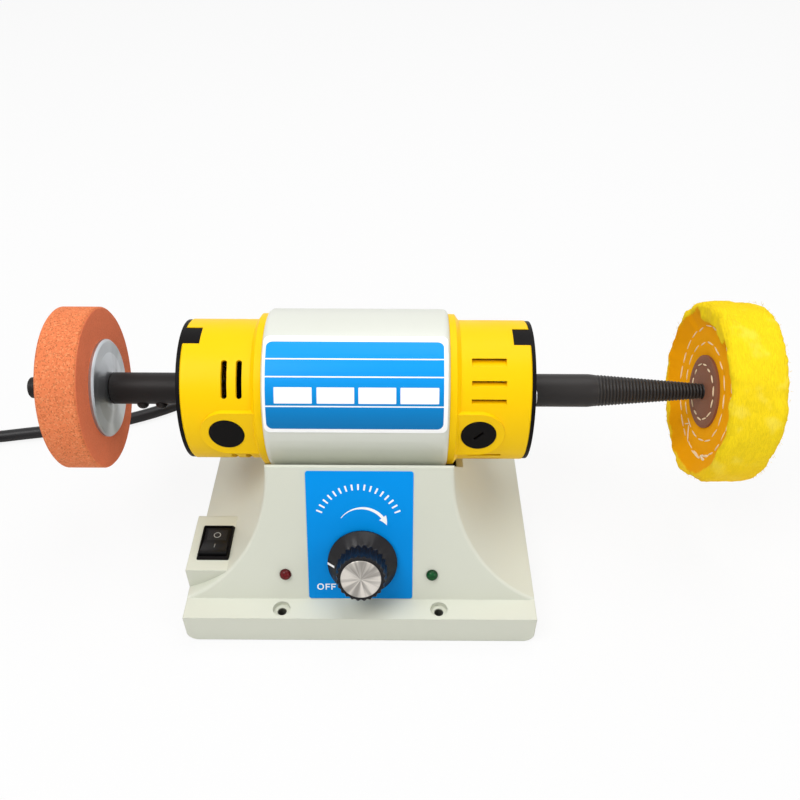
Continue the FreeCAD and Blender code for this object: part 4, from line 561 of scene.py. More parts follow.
@dataclass(frozen=True)
class Lens(Finish):
    """A small coloured lamp lens, with painted shade round its foot."""

    def dress(self, graph: Graph) -> None:
        """A clear coloured skin over a body with painted shade towards its foot.

        Args:
            graph: The material's nodes.
        """
        place = graph.position()
        clouds = graph.noise(place, 700.0, 2.0)
        cuts = graph.cells(place, 1000.0)
        out = graph.on_panel(PANEL_FOOT)[2]
        # Painted shade: the lens darkens towards its foot on the panel.
        body = graph.mix(out.between(0.2, 2.2), shade(self.colour, 0.35), self.colour)
        graph.surface(
            Base_Color=graph.mix(cuts.between(0.30, 0.60) * 0.5, body, shade(self.colour, 0.3)),
            Roughness=0.12 + clouds * 0.08,
            Normal=graph.bump(clouds + cuts, 0.05 * MM))


@dataclass(frozen=True)
class Stone(Finish):
    """Bonded grit: pale and dark grains in an orange bond, with open pores."""

    flank: Colour = srgb(240, 124, 86)
    flank_x: float = -120.5

    def dress(self, graph: Graph) -> None:
        """Grains of three sizes, each with its own tone, and a smoother, redder flank.

        Args:
            graph: The material's nodes.
        """
        place = graph.position()
        flank = graph.split(place)[0].between((self.flank_x - 0.5) * MM, self.flank_x * MM)
        clouds = graph.noise(place, 60.0, 5.0)
        fine = graph.noise(place, 1500.0, 3.0)
        grain = graph.cells(place, self.grain)
        tint = graph.cells(place, self.grain, output="Color")
        red, green, _ = graph.split(tint)
        base = self.tint(graph, clouds, 0.86, 1.12)
        pale = graph.mix(red.between(0.72, 0.95) * 0.34, base, srgb(250, 184, 128))
        dark = graph.mix(green.between(0.70, 0.92) * 0.42, pale, srgb(160, 76, 40))
        pores = fine.between(0.38, 0.30)
        rough = graph.mix(pores * 0.7, dark, srgb(140, 58, 36))
        graph.surface(
            Base_Color=graph.mix(flank * 0.75, rough, graph.mix(
                clouds, shade(self.flank, 0.9), shade(self.flank, 1.08))),
            Roughness=0.82 + 0.12 * fine,
            Normal=self.relief(graph, fine * 0.8 + (1.0 - grain) * 0.5 - pores * 0.5))


@dataclass(frozen=True)
class Cotton(Finish):
    """Plies of dyed cotton: deep yellow on the pressed faces, bright and fluffy on the rim."""

    rim: Colour = srgb(255, 223, 30)
    middle_x: float = 168.75
    rim_from: float = 36.6
    rim_to: float = 37.8

    def dress(self, graph: Graph) -> None:
        """Weave on the faces, plies and fluff on the rim, with painted shade under the lip and on
        the rim's underside.

        Args:
            graph: The material's nodes.
        """
        x, y, z = graph.split(graph.position((self.middle_x * MM, SHAFT.y, SHAFT.z)))
        radius = (y * y + z * z).root()
        wander = graph.noise(graph.position(scale=(0.2, 1.0, 1.0)), 34.0, 3.0) - 0.5
        fray = graph.noise(graph.position(), 330.0, 3.0) - 0.5
        toward = (z * math.cos(FLAP_TURN) - y * math.sin(FLAP_TURN)) / (
            radius.at_least(1.0 * MM))
        flap = toward.between(FLAP_EDGE, FLAP_EDGE + 0.02) * 5.8
        ragged = radius + (wander * 11.0 + fray * 3.0 + flap) * MM
        outward = ragged.between(self.rim_from * MM, self.rim_to * MM)
        place = graph.position()
        clouds = graph.noise(place, 55.0, 6.0, 0.8)
        fluff = graph.noise(graph.position(scale=(1.0, 0.35, 0.35)), 700.0, 6.0, 1.5)
        folds = graph.noise(graph.position(scale=(3.0, 1.0, 1.0)), 130.0, 4.0, 2.0)
        weave = ((y * math.tau / (0.55 * MM)).sine() + (z * math.tau / (0.55 * MM)).sine()) * 0.25
        plies = ((x + folds * 1.2 * MM) * math.tau / (0.9 * MM)).sine() * 0.5 + 0.5
        deep = graph.mix(clouds, shade(self.colour, 0.96), self.colour)
        # Painted shade: the face darkens where it slopes up under the lip.
        face = graph.mix(radius.between(30.0 * MM, 36.0 * MM) * 0.3, deep,
                         shade(self.colour, 0.92))
        bright = graph.mix(fluff.between(0.30, 0.66), shade(self.rim, 0.88), self.rim)
        lines = graph.mix(plies.between(0.0, 0.25) * outward * 0.4 + (1.0 - outward * 0.4),
                          shade(self.rim, 0.86), bright)
        pale = graph.noise(place, 90.0, 3.0).between(0.52, 0.70)
        soft = graph.mix(pale * 0.5, lines, srgb(255, 234, 88))
        # Painted shade: the rim turns a deeper orange towards its underside.
        rim = graph.mix(z.between(4.0 * MM, -38.0 * MM) * 0.6, soft, srgb(255, 200, 34))
        height = (weave + 0.5) * (1.0 - outward) * 0.35 + (
            fluff * 0.9 + plies * 0.35 + folds * 0.7) * outward
        graph.surface(
            Base_Color=graph.mix(outward, face, rim),
            Roughness=0.86 + 0.1 * fluff,
            Normal=self.relief(graph, height),
            Sheen_Weight=0.3, Sheen_Roughness=0.6, Sheen_Tint=srgb(255, 190, 40))


@dataclass(frozen=True)
class Hide(Finish):
    """Plain brown leather."""

    def dress(self, graph: Graph) -> None:
        """Creased grain of small cells.

        Args:
            graph: The material's nodes.
        """
        place = graph.position()
        cells = graph.cells(place, 1300.0, "DISTANCE_TO_EDGE")
        creases = cells.between(0.0, 0.16)
        clouds = graph.noise(place, 160.0, 4.0)
        graph.surface(
            Base_Color=self.tint(graph, clouds * 0.8 + creases * 0.2, 0.7, 1.25),
            Roughness=0.55 + clouds * 0.2,
            Normal=self.relief(graph, creases * 0.7 + clouds * 0.4))


@dataclass(frozen=True)
class Layered(Finish):
    """Sheets or wires side by side: laminations, windings, commutator bars."""

    pitch: float = 0.5
    turning: bool = False
    count: float = 24.0

    def dress(self, graph: Graph) -> None:
        """Fine lines along the shaft, or bars round it.

        Args:
            graph: The material's nodes.
        """
        x, y, z = graph.split(graph.position(tuple(SHAFT)))
        if self.turning:
            step = graph.math("ARCTAN2", y, z) * self.count / math.tau
        else:
            step = x / (self.pitch * MM)
        wave = abs((step % 1.0) - 0.5) * 2.0
        groove = wave.between(0.12, 0.0)
        place = graph.position()
        clouds = graph.noise(place, 90.0, 4.0)
        graph.surface(
            Base_Color=graph.mix(groove * 0.8, self.tint(graph, clouds, 0.8, 1.2),
                                 shade(self.colour, 0.15)),
            Roughness=self.gloss(graph, place) + groove * 0.2,
            Normal=self.relief(graph, wave.between(0.0, 0.5)))


@dataclass(frozen=True)
class Circuit(Finish):
    """A coated board with pale tracks."""

    def dress(self, graph: Graph) -> None:
        """Straight tracks in two directions.

        Args:
            graph: The material's nodes.
        """
        place = graph.position()
        x, y, _ = graph.split(place)
        cells = graph.cells(graph.position(scale=(1.0, 1.0, 0.0)), 260.0, output="Color")
        pick, other, _ = graph.split(cells)
        tracks = ((x / (1.6 * MM)) % 1.0).between(0.55, 0.62) * pick.between(0.5, 0.52)
        crossing = ((y / (1.6 * MM)) % 1.0).between(0.55, 0.62) * other.between(0.5, 0.52)
        lines = tracks.at_least(crossing)
        clouds = graph.noise(place, 120.0)
        graph.surface(
            Base_Color=self.tint(graph, lines, 0.8, 2.2),
            Roughness=0.3 + clouds * 0.15,
            Normal=self.relief(graph, lines))


@dataclass(frozen=True)
class ScrewHead(Finish):
    """Plated screws: fine tool marks and dull corners."""

    def gloss(self, graph: Graph, place: Term) -> Term:
        """Patchy plating."""
        return self.roughness - 0.1 + 0.25 * graph.noise(place, 500.0, 4.0)


@dataclass(frozen=True)
class Printed(Finish):
    """A printed film. Its artwork is worked out in millimetres on its own face."""

    ink: Colour = srgb(255, 255, 255)

    def face(self, graph: Graph) -> tuple[Term, Term]:
        """The place on the film, across and up, in millimetres."""
        raise NotImplementedError

    def art(self, graph: Graph, across: Term, up: Term) -> Term:
        """How much ink covers each place, 0 to 1."""
        raise NotImplementedError

    def ground(self, graph: Graph, across: Term, up: Term) -> Term:
        """The film's own colour."""
        return self.tone(graph, graph.position())

    def dress(self, graph: Graph) -> None:
        """Ink on a coloured ground, under a clear film.

        Args:
            graph: The material's nodes.
        """
        across, up = self.face(graph)
        place = graph.position()
        clouds = graph.noise(place, 400.0, 4.0)
        cover = self.art(graph, across, up)
        graph.surface(
            Base_Color=graph.mix(cover, self.ground(graph, across, up), self.ink),
            Roughness=self.gloss(graph, place),
            Normal=graph.bump(clouds * 0.6 + cover * 0.4, self.grain_depth * MM))


def panel_distance(across: Term, up: Term, centre: tuple[float, float],
                   half: tuple[float, float], corner: float = 0.0) -> Term:
    """How far a place is outside a rectangle with round corners.

    Args:
        across, up: The place, in millimetres.
        centre: The rectangle's middle.
        half: Half its width and half its height.
        corner: The radius of its corners.

    Returns:
        The distance, negative inside.
    """
    dx = abs(across - centre[0]) - (half[0] - corner)
    dy = abs(up - centre[1]) - (half[1] - corner)
    ox, oy = dx.at_least(0.0), dy.at_least(0.0)
    return (ox * ox + oy * oy).root() + dx.at_least(dy).at_most(0.0) - corner


def inside(distance: Term, soft: float = 0.07) -> Term:
    """Cover where a distance is negative, with a soft edge."""
    return distance.between(soft, -soft)


def together(*covers: Term) -> Term:
    """Cover where any of the covers is.

    Args:
        covers: Covers from 0 to 1.

    Returns:
        The joint cover.
    """
    result = covers[0]
    for cover in covers[1:]:
        result = result.at_least(cover)
    return result


@dataclass(frozen=True)
class PanelFilm(Printed):
    """The blue film of the control panel: a turning arrow, plain marks and the word OFF."""

    arrow_centre: tuple[float, float] = (1.0, 33.6)
    arrow_radius: float = 11.5
    scale_centre: tuple[float, float] = (-0.6, 36.2)
    scale_radius: float = 18.8
    scale_step: float = 8.4
    scale_reach: float = 67.2

    def face(self, graph: Graph) -> tuple[Term, Term]:
        """Across the panel and up it from its foot."""
        return graph.on_panel(PANEL_FOOT)[:2]

    def ground(self, graph: Graph, across: Term, up: Term) -> Term:
        """A blue that is a little lighter towards the top."""
        return self.tint(graph, up.between(0.0, 62.0), 0.92, 1.1)

    def art(self, graph: Graph, across: Term, up: Term) -> Term:
        """The arrow, marks round the dial and a word beside it."""
        return together(self.arrow(graph, across, up), self.marks(graph, across, up),
                        self.word(across, up))

    def arrow(self, graph: Graph, across: Term, up: Term) -> Term:
        """An arc that swells towards its head.

        Args:
            graph: The material's nodes.
            across: Place across the film, in millimetres.
            up: Place up the film.

        Returns:
            The ink's cover.
        """
        dx, dy = across - self.arrow_centre[0], up - self.arrow_centre[1]
        radius = (dx * dx + dy * dy).root()
        angle = graph.math("ARCTAN2", dx, dy) * TO_DEGREES
        width = 0.16 + angle.between(-53.0, 40.0) * 0.52
        shaft = inside(abs(radius - self.arrow_radius) - width) * (
            inside(abs(angle - 2.0) - 56.0, 0.4))
        along = (73.0 - angle) * (self.arrow_radius * math.pi / 180)
        head = inside(abs(radius - self.arrow_radius) - along * 0.46) * (
            inside(-along) * inside(along - 4.1))
        return shaft.at_least(head)

    def marks(self, graph: Graph, across: Term, up: Term) -> Term:
        """Plain strokes in an arc, as on a dial's scale.

        Args:
            graph: The material's nodes.
            across: Place across the film, in millimetres.
            up: Place up the film.

        Returns:
            The ink's cover.
        """
        dx, dy = across - self.scale_centre[0], up - self.scale_centre[1]
        radius = (dx * dx + dy * dy).root()
        angle = graph.math("ARCTAN2", dx, dy) * TO_DEGREES
        half = self.scale_step / 2
        aside = (((angle + half) % self.scale_step) - half) * (
            self.scale_radius * math.pi / 180)
        stroke = panel_distance(aside, radius - self.scale_radius, (0.0, 0.0), (0.38, 1.4), 0.2)
        return inside(stroke) * inside(abs(angle) - self.scale_reach - 2.0, 0.3)

    def word(self, across: Term, up: Term) -> Term:
        """The word OFF, at the low end of the dial's turn.

        Args:
            across: Place across the film, in millimetres.
            up: Place up the film.

        Returns:
            The ink's cover.
        """
        left, middle, tall, stroke = -19.7, 6.4, 1.5, 0.26
        outer = panel_distance(across, up, (left + 1.4, middle), (1.5, tall + 0.1), 1.4)
        letters = [inside(abs(outer + stroke) - stroke)]
        for start in (left + 3.7, left + 6.3):
            bars = (
                ((start + stroke, middle), (stroke, tall)),
                ((start + 1.1, middle + tall - stroke), (1.1, stroke)),
                ((start + 0.95, middle - 0.05), (0.95, stroke)))
            letters += [inside(panel_distance(across, up, c, h)) for c, h in bars]
        return together(*letters)


@dataclass(frozen=True)
class BarrelFilm(Printed):
    """The white film round the barrel with its blue field, plain lines and four blank boxes."""

    radius: float = 37.55

    def face(self, graph: Graph) -> tuple[Term, Term]:
        """Along the barrel, and round it in degrees up from the front."""
        x, y, z = graph.split(graph.position(tuple(SHAFT)))
        return x * TO_MM, graph.math("ARCTAN2", z, -y) * TO_DEGREES

    def ground(self, graph: Graph, across: Term, up: Term) -> Term:
        """Blue with painted shade: it deepens downwards, where the barrel turns away from the
        light.
        """
        return self.tint(graph, up.between(8.0, 56.0), 0.58, 1.12)

    def art(self, graph: Graph, across: Term, up: Term) -> Term:
        """White round the blue field, three lines and four boxes.

        Args:
            graph: The material's nodes. Not used.
            across: Place across the film, in millimetres.
            up: Place up the film.

        Returns:
            The ink's cover.
        """
        arc = up * (self.radius * math.pi / 180)
        unit = self.radius * math.pi / 180
        middle, half = 40.55 * unit, 29.95 * unit
        field_edge = panel_distance(across, arc, (-1.8, middle), (38.2, half), 2.8)
        covers = [inside(-field_edge, 0.1)]
        covers += [inside(abs(arc - level * unit) - 0.28) for level in (57.7, 45.7, 26.4)]
        for low, high in ((-36.2, -20.0), (-17.9, -1.9), (-0.1, 16.0), (17.8, 34.3)):
            covers.append(inside(panel_distance(
                across, arc, ((low + high) / 2, 33.6 * unit),
                ((high - low) / 2, 5.3 * unit), 0.3)))
        return together(*covers)


@dataclass(frozen=True)
class RockerPlastic(Moulding):
    """Black moulded plastic with the usual white ring and stroke."""

    middle: tuple[float, float] = (-68.7, -42.8)

    def tone(self, graph: Graph, place: Term) -> Term:
        """A ring at the back for off and a stroke at the front for on.

        Args:
            graph: The material's nodes.
            place: Where the surface is.

        Returns:
            The colour.
        """
        base = super().tone(graph, place)
        x, y, z = graph.split(place)
        across, back = x * TO_MM - self.middle[0], y * TO_MM - self.middle[1]
        dx, dy = across, back - 4.3
        ring = inside(abs((dx * dx + dy * dy).root() - 1.5) - 0.14)
        stroke = inside(panel_distance(across, back, (0.0, -3.0), (0.15, 1.4))) * 0.6
        dots = ((x * math.tau / (0.9 * MM)).sine() * (y * math.tau / (0.9 * MM)).sine())
        patch = inside(panel_distance(across, back, (0.0, 4.3), (4.6, 3.2)))
        top = (z * TO_MM).between(28.6, 28.8)
        grip = graph.mix(dots.between(0.35, 0.8) * patch * top * 0.5, base, srgb(120, 120, 122))
        return graph.mix(together(ring, stroke) * top * 0.8, grip, srgb(200, 200, 196))


@dataclass(frozen=True)
class KnobPlastic(Turned):
    """Glossy black knob with fine turning rings and a white pointer on its skirt."""

    def dress(self, graph: Graph) -> None:
        """The pointer lies at nine o'clock.

        Args:
            graph: The material's nodes.
        """
        super().dress(graph)
        across, up, out = graph.on_panel(DIAL)
        line = inside(panel_distance(across, up, (-14.0, 0.0), (1.85, 0.55), 0.15))
        side = inside(panel_distance(out, up, (9.0, 0.0), (1.2, 0.22)))
        side = side * across.between(-9.5, -9.8)
        pointer = (line * out.between(6.4, 6.0)).at_least(side * 0.5)
        graph.surface(Base_Color=graph.mix(pointer, self.colour, srgb(245, 245, 245)))


@dataclass(frozen=True)
class PinMetal(Turned):
    """Plug pins with a black sleeve over their inner half."""

    sleeve_to: float = -72.0

    def dress(self, graph: Graph) -> None:
        """Bright tips and dull sleeves.

        Args:
            graph: The material's nodes.
        """
        super().dress(graph)
        _, y, _ = graph.split(graph.position())
        sleeve = (y * TO_MM).between(self.sleeve_to, self.sleeve_to + 0.2)
        graph.surface(
            Base_Color=graph.mix(sleeve, self.colour, srgb(26, 26, 27)),
            Metallic=1.0 - sleeve)


class Finishes:
    """Every finish of the lathe by name."""

    def __init__(self) -> None:
        """Make them all."""
        finishes: list[Finish] = [
            Housing("cream_moulding", srgb(212, 214, 199), 0.42, edge=0.7 * MM, grain=3000,
                    grain_depth=0.008, variation=0.02, coat=0.05),
            Moulding("cream_paint", srgb(217, 219, 209), 0.34, edge=0.3 * MM, grain=1800,
                     grain_depth=0.012, variation=0.02, coat=0.12),
            Moulding("yellow_plastic", srgb(255, 205, 0), 0.4, edge=0.35 * MM, grain=2600,
                     grain_depth=0.01, variation=0.03, shine=0.13),
            Moulding("black_plastic", srgb(15, 13, 13), 0.42, edge=0.25 * MM, grain=4200,
                     grain_depth=0.02, variation=0.1, shine=0.07),
            RockerPlastic("rocker_plastic", srgb(16, 15, 16), 0.4, edge=0.12 * MM, grain=4200,
                          grain_depth=0.008, variation=0.1, shine=0.16),
            KnobPlastic("knob_plastic", srgb(17, 15, 18), 0.26, edge=0.15 * MM, axis=Axis.PANEL,
                        grain_depth=0.006, coat=0.06, shine=0.22),
            # Painted reflection: the spun disc's sectors of lighter and darker metal.
            Turned("spun_aluminium", srgb(222, 216, 208), 0.3, 1.0, axis=Axis.PANEL,
                   grain_depth=0.006, groove=0.5, painted_fans=2.0),
            PanelFilm("panel_film", srgb(0, 142, 226), 0.36, grain_depth=0.006, shine=0.08),
            BarrelFilm("barrel_film", srgb(10, 150, 230), 0.30, grain_depth=0.006, shine=0.14),
            Lens("red_lens", srgb(112, 14, 20), shine=0.2),
            Lens("green_lens", srgb(6, 86, 37), shine=0.2),
            Moulding("black_oxide", srgb(30, 26, 25), 0.44, 0.1, edge=0.2 * MM, grain=1600,
                     grain_depth=0.015, variation=0.12, shine=0.2),
            Thread("threaded_steel", srgb(42, 39, 38), 0.42, 0.1, edge=0.1 * MM, grain=1600,
                   grain_depth=0.015, variation=0.12, shine=0.24),
            # Painted reflection: the plated parts' sectors of lighter and darker metal.
            Turned("zinc_plate", srgb(204, 208, 212), 0.30, 1.0, edge=0.3 * MM, patch=6.0,
                   grain_depth=0.004, groove=0.6, painted_fans=1.1, painted_fan_low=0.7),
            Stone("grinding_stone", srgb(232, 130, 82), 0.85, edge=0.5 * MM, grain=1700.0,
                  grain_depth=0.14, shine=0.2),
            Cotton("yellow_cotton", srgb(255, 170, 2), 0.9, grain_depth=0.24, shine=0.08),
            Hide("brown_leather", srgb(142, 92, 68), 0.6, edge=0.3 * MM, grain_depth=0.12,
                 shine=0.25),
            Moulding("white_thread", srgb(255, 228, 190), 0.8, grain=1800, grain_depth=0.08,
                     shine=0.2),
            Moulding("black_rubber", srgb(30, 30, 31), 0.72, edge=0.3 * MM, grain=1500,
                     grain_depth=0.03, variation=0.15),
            Moulding("cord_jacket", srgb(26, 25, 27), 0.36, grain=1100, grain_depth=0.02,
                     variation=0.15, shine=0.28),
            ScrewHead("plated_screws", srgb(168, 168, 170), 0.38, 1.0, edge=0.15 * MM),
            Turned("ground_steel", srgb(186, 188, 192), 0.24, 1.0, along=True, grain_depth=0.004),
            Moulding("zinc_sheet", srgb(176, 180, 184), 0.42, 0.9, grain=300, grain_depth=0.01,
                     variation=0.12),
            Layered("core_sheets", srgb(92, 92, 96), 0.5, 0.8, grain_depth=0.06),
            Layered("copper_wire", srgb(178, 92, 48), 0.35, 0.7, pitch=0.8, grain_depth=0.25,
                    coat=0.6),
            Layered("copper_bars", srgb(206, 140, 92), 0.25, 1.0, turning=True,
                    grain_depth=0.2),
            Turned("brass_tube", srgb(206, 172, 96), 0.28, 1.0, grain_depth=0.01),
            Moulding("pressed_carbon", srgb(44, 44, 46), 0.6, grain=2000, grain_depth=0.03),
            Circuit("green_board", srgb(24, 98, 58), 0.35, grain_depth=0.03),
            Moulding("fin_metal", srgb(198, 200, 204), 0.38, 0.9, edge=0.2 * MM, grain=1500,
                     grain_depth=0.01),
            Moulding("terminal_green", srgb(40, 132, 84), 0.42, edge=0.25 * MM),
            PinMetal("pin_metal", srgb(206, 204, 198), 0.22, 1.0, grain_depth=0.004),
        ]
        self.made = {finish.name: finish.make() for finish in finishes}

    def __getitem__(self, name: str) -> bpy.types.Material:
        """A material by its finish's name."""
        return self.made[name]


NODE_FINISHES = {node: finish for finish, nodes in {
    "cream_moulding": "base_housing",
    "cream_paint": "motor_barrel",
    "zinc_sheet": "bottom_plate speed_control",
    "black_rubber": "rubber_feet cord_gland",
    "plated_screws": "bottom_screws saddle_screws end_plate_screws ring_nut dial_shaft",
    "barrel_film": "rating_label",
    "panel_film": "panel_label",
    "yellow_plastic": "left_end_cap right_end_cap",
    "black_plastic": "left_end_plate right_end_plate blank_plugs brush_caps cooling_fan "
                     "switch_frame board_spacers filter_capacitor cord_tie power_plug",
    "brass_tube": "brush_holders",
    "pressed_carbon": "carbon_brushes",
    "ground_steel": "brush_springs motor_shaft bearing_outer_rings bearing_inner_rings "
                    "bearing_balls",
    "core_sheets": "stator_core armature_core",
    "copper_wire": "field_coils armature_windings filter_choke",
    "copper_bars": "commutator",
    "black_oxide": "left_arbor taper_spindle arbor_set_screws spindle_grub_screws",
    "zinc_plate": "inner_flange outer_flange arbor_nut",
    "grinding_stone": "grinding_wheel",
    "yellow_cotton": "buffing_wheel",
    "brown_leather": "leather_discs",
    "rocker_plastic": "switch_rocker",
    "red_lens": "red_lamp",
    "green_lens": "green_lamp",
    "knob_plastic": "speed_knob",
    "spun_aluminium": "knob_cap",
    "green_board": "control_board",
    "fin_metal": "heat_sink",
    "terminal_green": "terminal_block",
    "cord_jacket": "power_cord cord_coil",
    "pin_metal": "plug_pins",
}.items() for node in nodes.split()}


def put(name: str, mesh: bmesh.types.BMesh, material: bpy.types.Material, body: str,
        sharp: float = 40.0) -> bpy.types.Object:
    """Make a finished piece of a built mesh.

    Args:
        name: The piece's name.
        mesh: The built mesh, in metres, where the piece belongs.
        material: Its finish.
        body: The body that it rides on.
        sharp: Edges above this many degrees stay sharp.

    Returns:
        The piece.
    """
    bmesh.ops.remove_doubles(mesh, verts=mesh.verts, dist=DOUBLES)
    bmesh.ops.recalc_face_normals(mesh, faces=mesh.faces)
    data = bpy.data.meshes.new(name)
    mesh.to_mesh(data)
    mesh.free()
    data.shade_smooth()
    data.set_sharp_from_angle(angle=math.radians(sharp))
    data.materials.append(material)
    piece = bpy.data.objects.new(name, data)
    bpy.context.scene.collection.objects.link(piece)
    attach(piece, body)
    LOG.info("%s: %d faces", name, len(data.polygons))
    return piece


def wrapped(rows: int, sides: int, radius: Callable[[float, float], tuple[float, float]]
            ) -> bmesh.types.BMesh:
    """Roll a grid into a closed tube round the shaft.

    Args:
        rows: Rows along the tube.
        sides: Faces round it.
        radius: Gives the station along X and the radius, from the share of the length and the
            angle round the shaft.

    Returns:
        The tube with both ends filled.
    """
    mesh = bmesh.new()
    bmesh.ops.create_grid(mesh, x_segments=rows, y_segments=sides, size=1.0)
    for vert in mesh.verts:
        share, angle = (vert.co.x + 1) / 2, (vert.co.y + 1) * math.pi
        station, reach = radius(share, angle)
        vert.co = Vector((station, SHAFT.y + reach * math.cos(angle),
                          SHAFT.z + reach * math.sin(angle)))
    bmesh.ops.remove_doubles(mesh, verts=mesh.verts, dist=DOUBLES)
    bmesh.ops.holes_fill(mesh, edges=[e for e in mesh.edges if e.is_boundary], sides=0)
    return mesh


def loop(mesh: bmesh.types.BMesh, points: Sequence[Sequence[float]]) -> list[bmesh.types.BMEdge]:
    """Draw a closed outline.

    Args:
        mesh: The mesh that takes it.
        points: Its corners in order, in metres.

    Returns:
        Its edges.
    """
    verts = [mesh.verts.new(point) for point in points]
    return [mesh.edges.new(pair) for pair in zip(verts, verts[1:] + verts[:1])]


def above_shaft(outline: Sequence[tuple[float, float]]) -> list[Place]:
    """Set an outline of stations and radii, in millimetres, straight above the shaft."""
    return [(x * MM, SHAFT.y, SHAFT.z + r * MM) for x, r in outline]


def spin_round_shaft(mesh: bmesh.types.BMesh, steps: int) -> None:
    """Spin all that a mesh holds once round the shaft."""
    bmesh.ops.spin(mesh, geom=mesh.verts[:] + mesh.edges[:], cent=SHAFT, axis=(1.0, 0.0, 0.0),
                   angle=math.tau, steps=steps, use_merge=True)


def about_shaft(angle: float) -> Matrix:
    """A turn about the shaft, in radians."""
    return Matrix.Translation(SHAFT) @ Matrix.Rotation(angle, 4, "X") @ (
        Matrix.Translation(-SHAFT))


@dataclass
class Studio:
    """Floor, world, lamps and camera."""

    camera_place: Place = (17.78, -299.0, 318.5)
    camera_pitch: float = 43.86
    camera_roll: float = 0.304
    lens: float = 36.82
    shift: float = 0.09625
    floor_half: float = 3.0
    floor_drop: float = 0.0002
    floor_glow: float = 0.87
    world_light: float = 0.42
    aim: Place = (0.0, 0.0, 0.05)
    lamps: Sequence[tuple[str, Place, float, float]] = (
        ("key_lamp", (-0.6, -0.45, 1.25), 0.9, 10.0),
        ("top_lamp", (0.25, 0.35, 1.3), 1.1, 6.8),
        ("side_lamp", (1.1, -0.8, 0.7), 0.8, 4.1),
    )

    def build(self) -> None:
        """Make the whole studio."""
        self.floor()
        self.world()
        self.light()
        self.camera()

    def floor(self) -> None:
        """A pale floor that the camera sees as nearly white."""
        mesh = bmesh.new()
        bmesh.ops.create_grid(mesh, x_segments=1, y_segments=1, size=self.floor_half)
        data = bpy.data.meshes.new("floor")
        mesh.to_mesh(data)
        mesh.free()
        floor = bpy.data.objects.new("floor", data)
        floor.location.z = -self.floor_drop
        bpy.context.scene.collection.objects.link(floor)
        graph = Graph("studio_floor")
        graph.surface(Base_Color=srgb(230, 230, 230), Roughness=0.9)
        glow = graph.node("ShaderNodeEmission", None, {"Color": (1.0, 1.0, 1.0, 1.0)})
        ray = graph.term("ShaderNodeLightPath", output="Is Camera Ray")
        mixed = graph.node("ShaderNodeMixShader", None, {0: ray * self.floor_glow})
        graph.tree.links.new(graph.shader.outputs[0], mixed.inputs[1])
        graph.tree.links.new(glow.outputs[0], mixed.inputs[2])
        graph.tree.links.new(mixed.outputs[0],
                             graph.tree.nodes["Material Output"].inputs["Surface"])
        data.materials.append(graph.material)

    def world(self) -> None:
        """A soft world that lights evenly and shows white."""
        world = bpy.data.worlds.new("studio_world")
        world.use_nodes = True
        bpy.context.scene.world = world
        tree = world.node_tree
        back = tree.nodes["Background"]
        back.inputs["Color"].default_value = (1.0, 1.0, 1.0, 1.0)
        path = tree.nodes.new("ShaderNodeLightPath")
        seen = path.outputs["Is Camera Ray"]
        for other in ("Is Glossy Ray", "Is Transmission Ray"):
            either = tree.nodes.new("ShaderNodeMath")
            either.operation = "MAXIMUM"
            tree.links.new(seen, either.inputs[0])
            tree.links.new(path.outputs[other], either.inputs[1])
            seen = either.outputs[0]
        strength = tree.nodes.new("ShaderNodeMapRange")
        strength.inputs["To Min"].default_value = self.world_light
        strength.inputs["To Max"].default_value = 1.0
        tree.links.new(seen, strength.inputs["Value"])
        tree.links.new(strength.outputs[0], back.inputs["Strength"])

    def light(self) -> None:
        """Large soft lamps."""
        for name, place, size, power in self.lamps:
            data = bpy.data.lights.new(name, "AREA")
            data.shape = "DISK"
            data.size = size
            data.energy = power
            lamp = bpy.data.objects.new(name, data)
            lamp.location = place
            aim = Vector(self.aim) - Vector(place)
            lamp.rotation_euler = aim.to_track_quat("-Z", "Y").to_euler()
            bpy.context.scene.collection.objects.link(lamp)

    def camera(self) -> None:
        """The camera at the photograph's place."""
        data = bpy.data.cameras.new("camera")
        data.sensor_width = 36.0
        data.lens = self.lens
        data.shift_y = self.shift
        camera = bpy.data.objects.new("camera", data)
        turn = Matrix.Rotation(math.radians(90 - self.camera_pitch), 4, "X")
        roll = Matrix.Rotation(math.radians(self.camera_roll), 4, "Z")
        place = Matrix.Translation(Vector(self.camera_place) * MM)
        camera.matrix_world = place @ turn @ roll
        bpy.context.scene.collection.objects.link(camera)
        bpy.context.scene.camera = camera


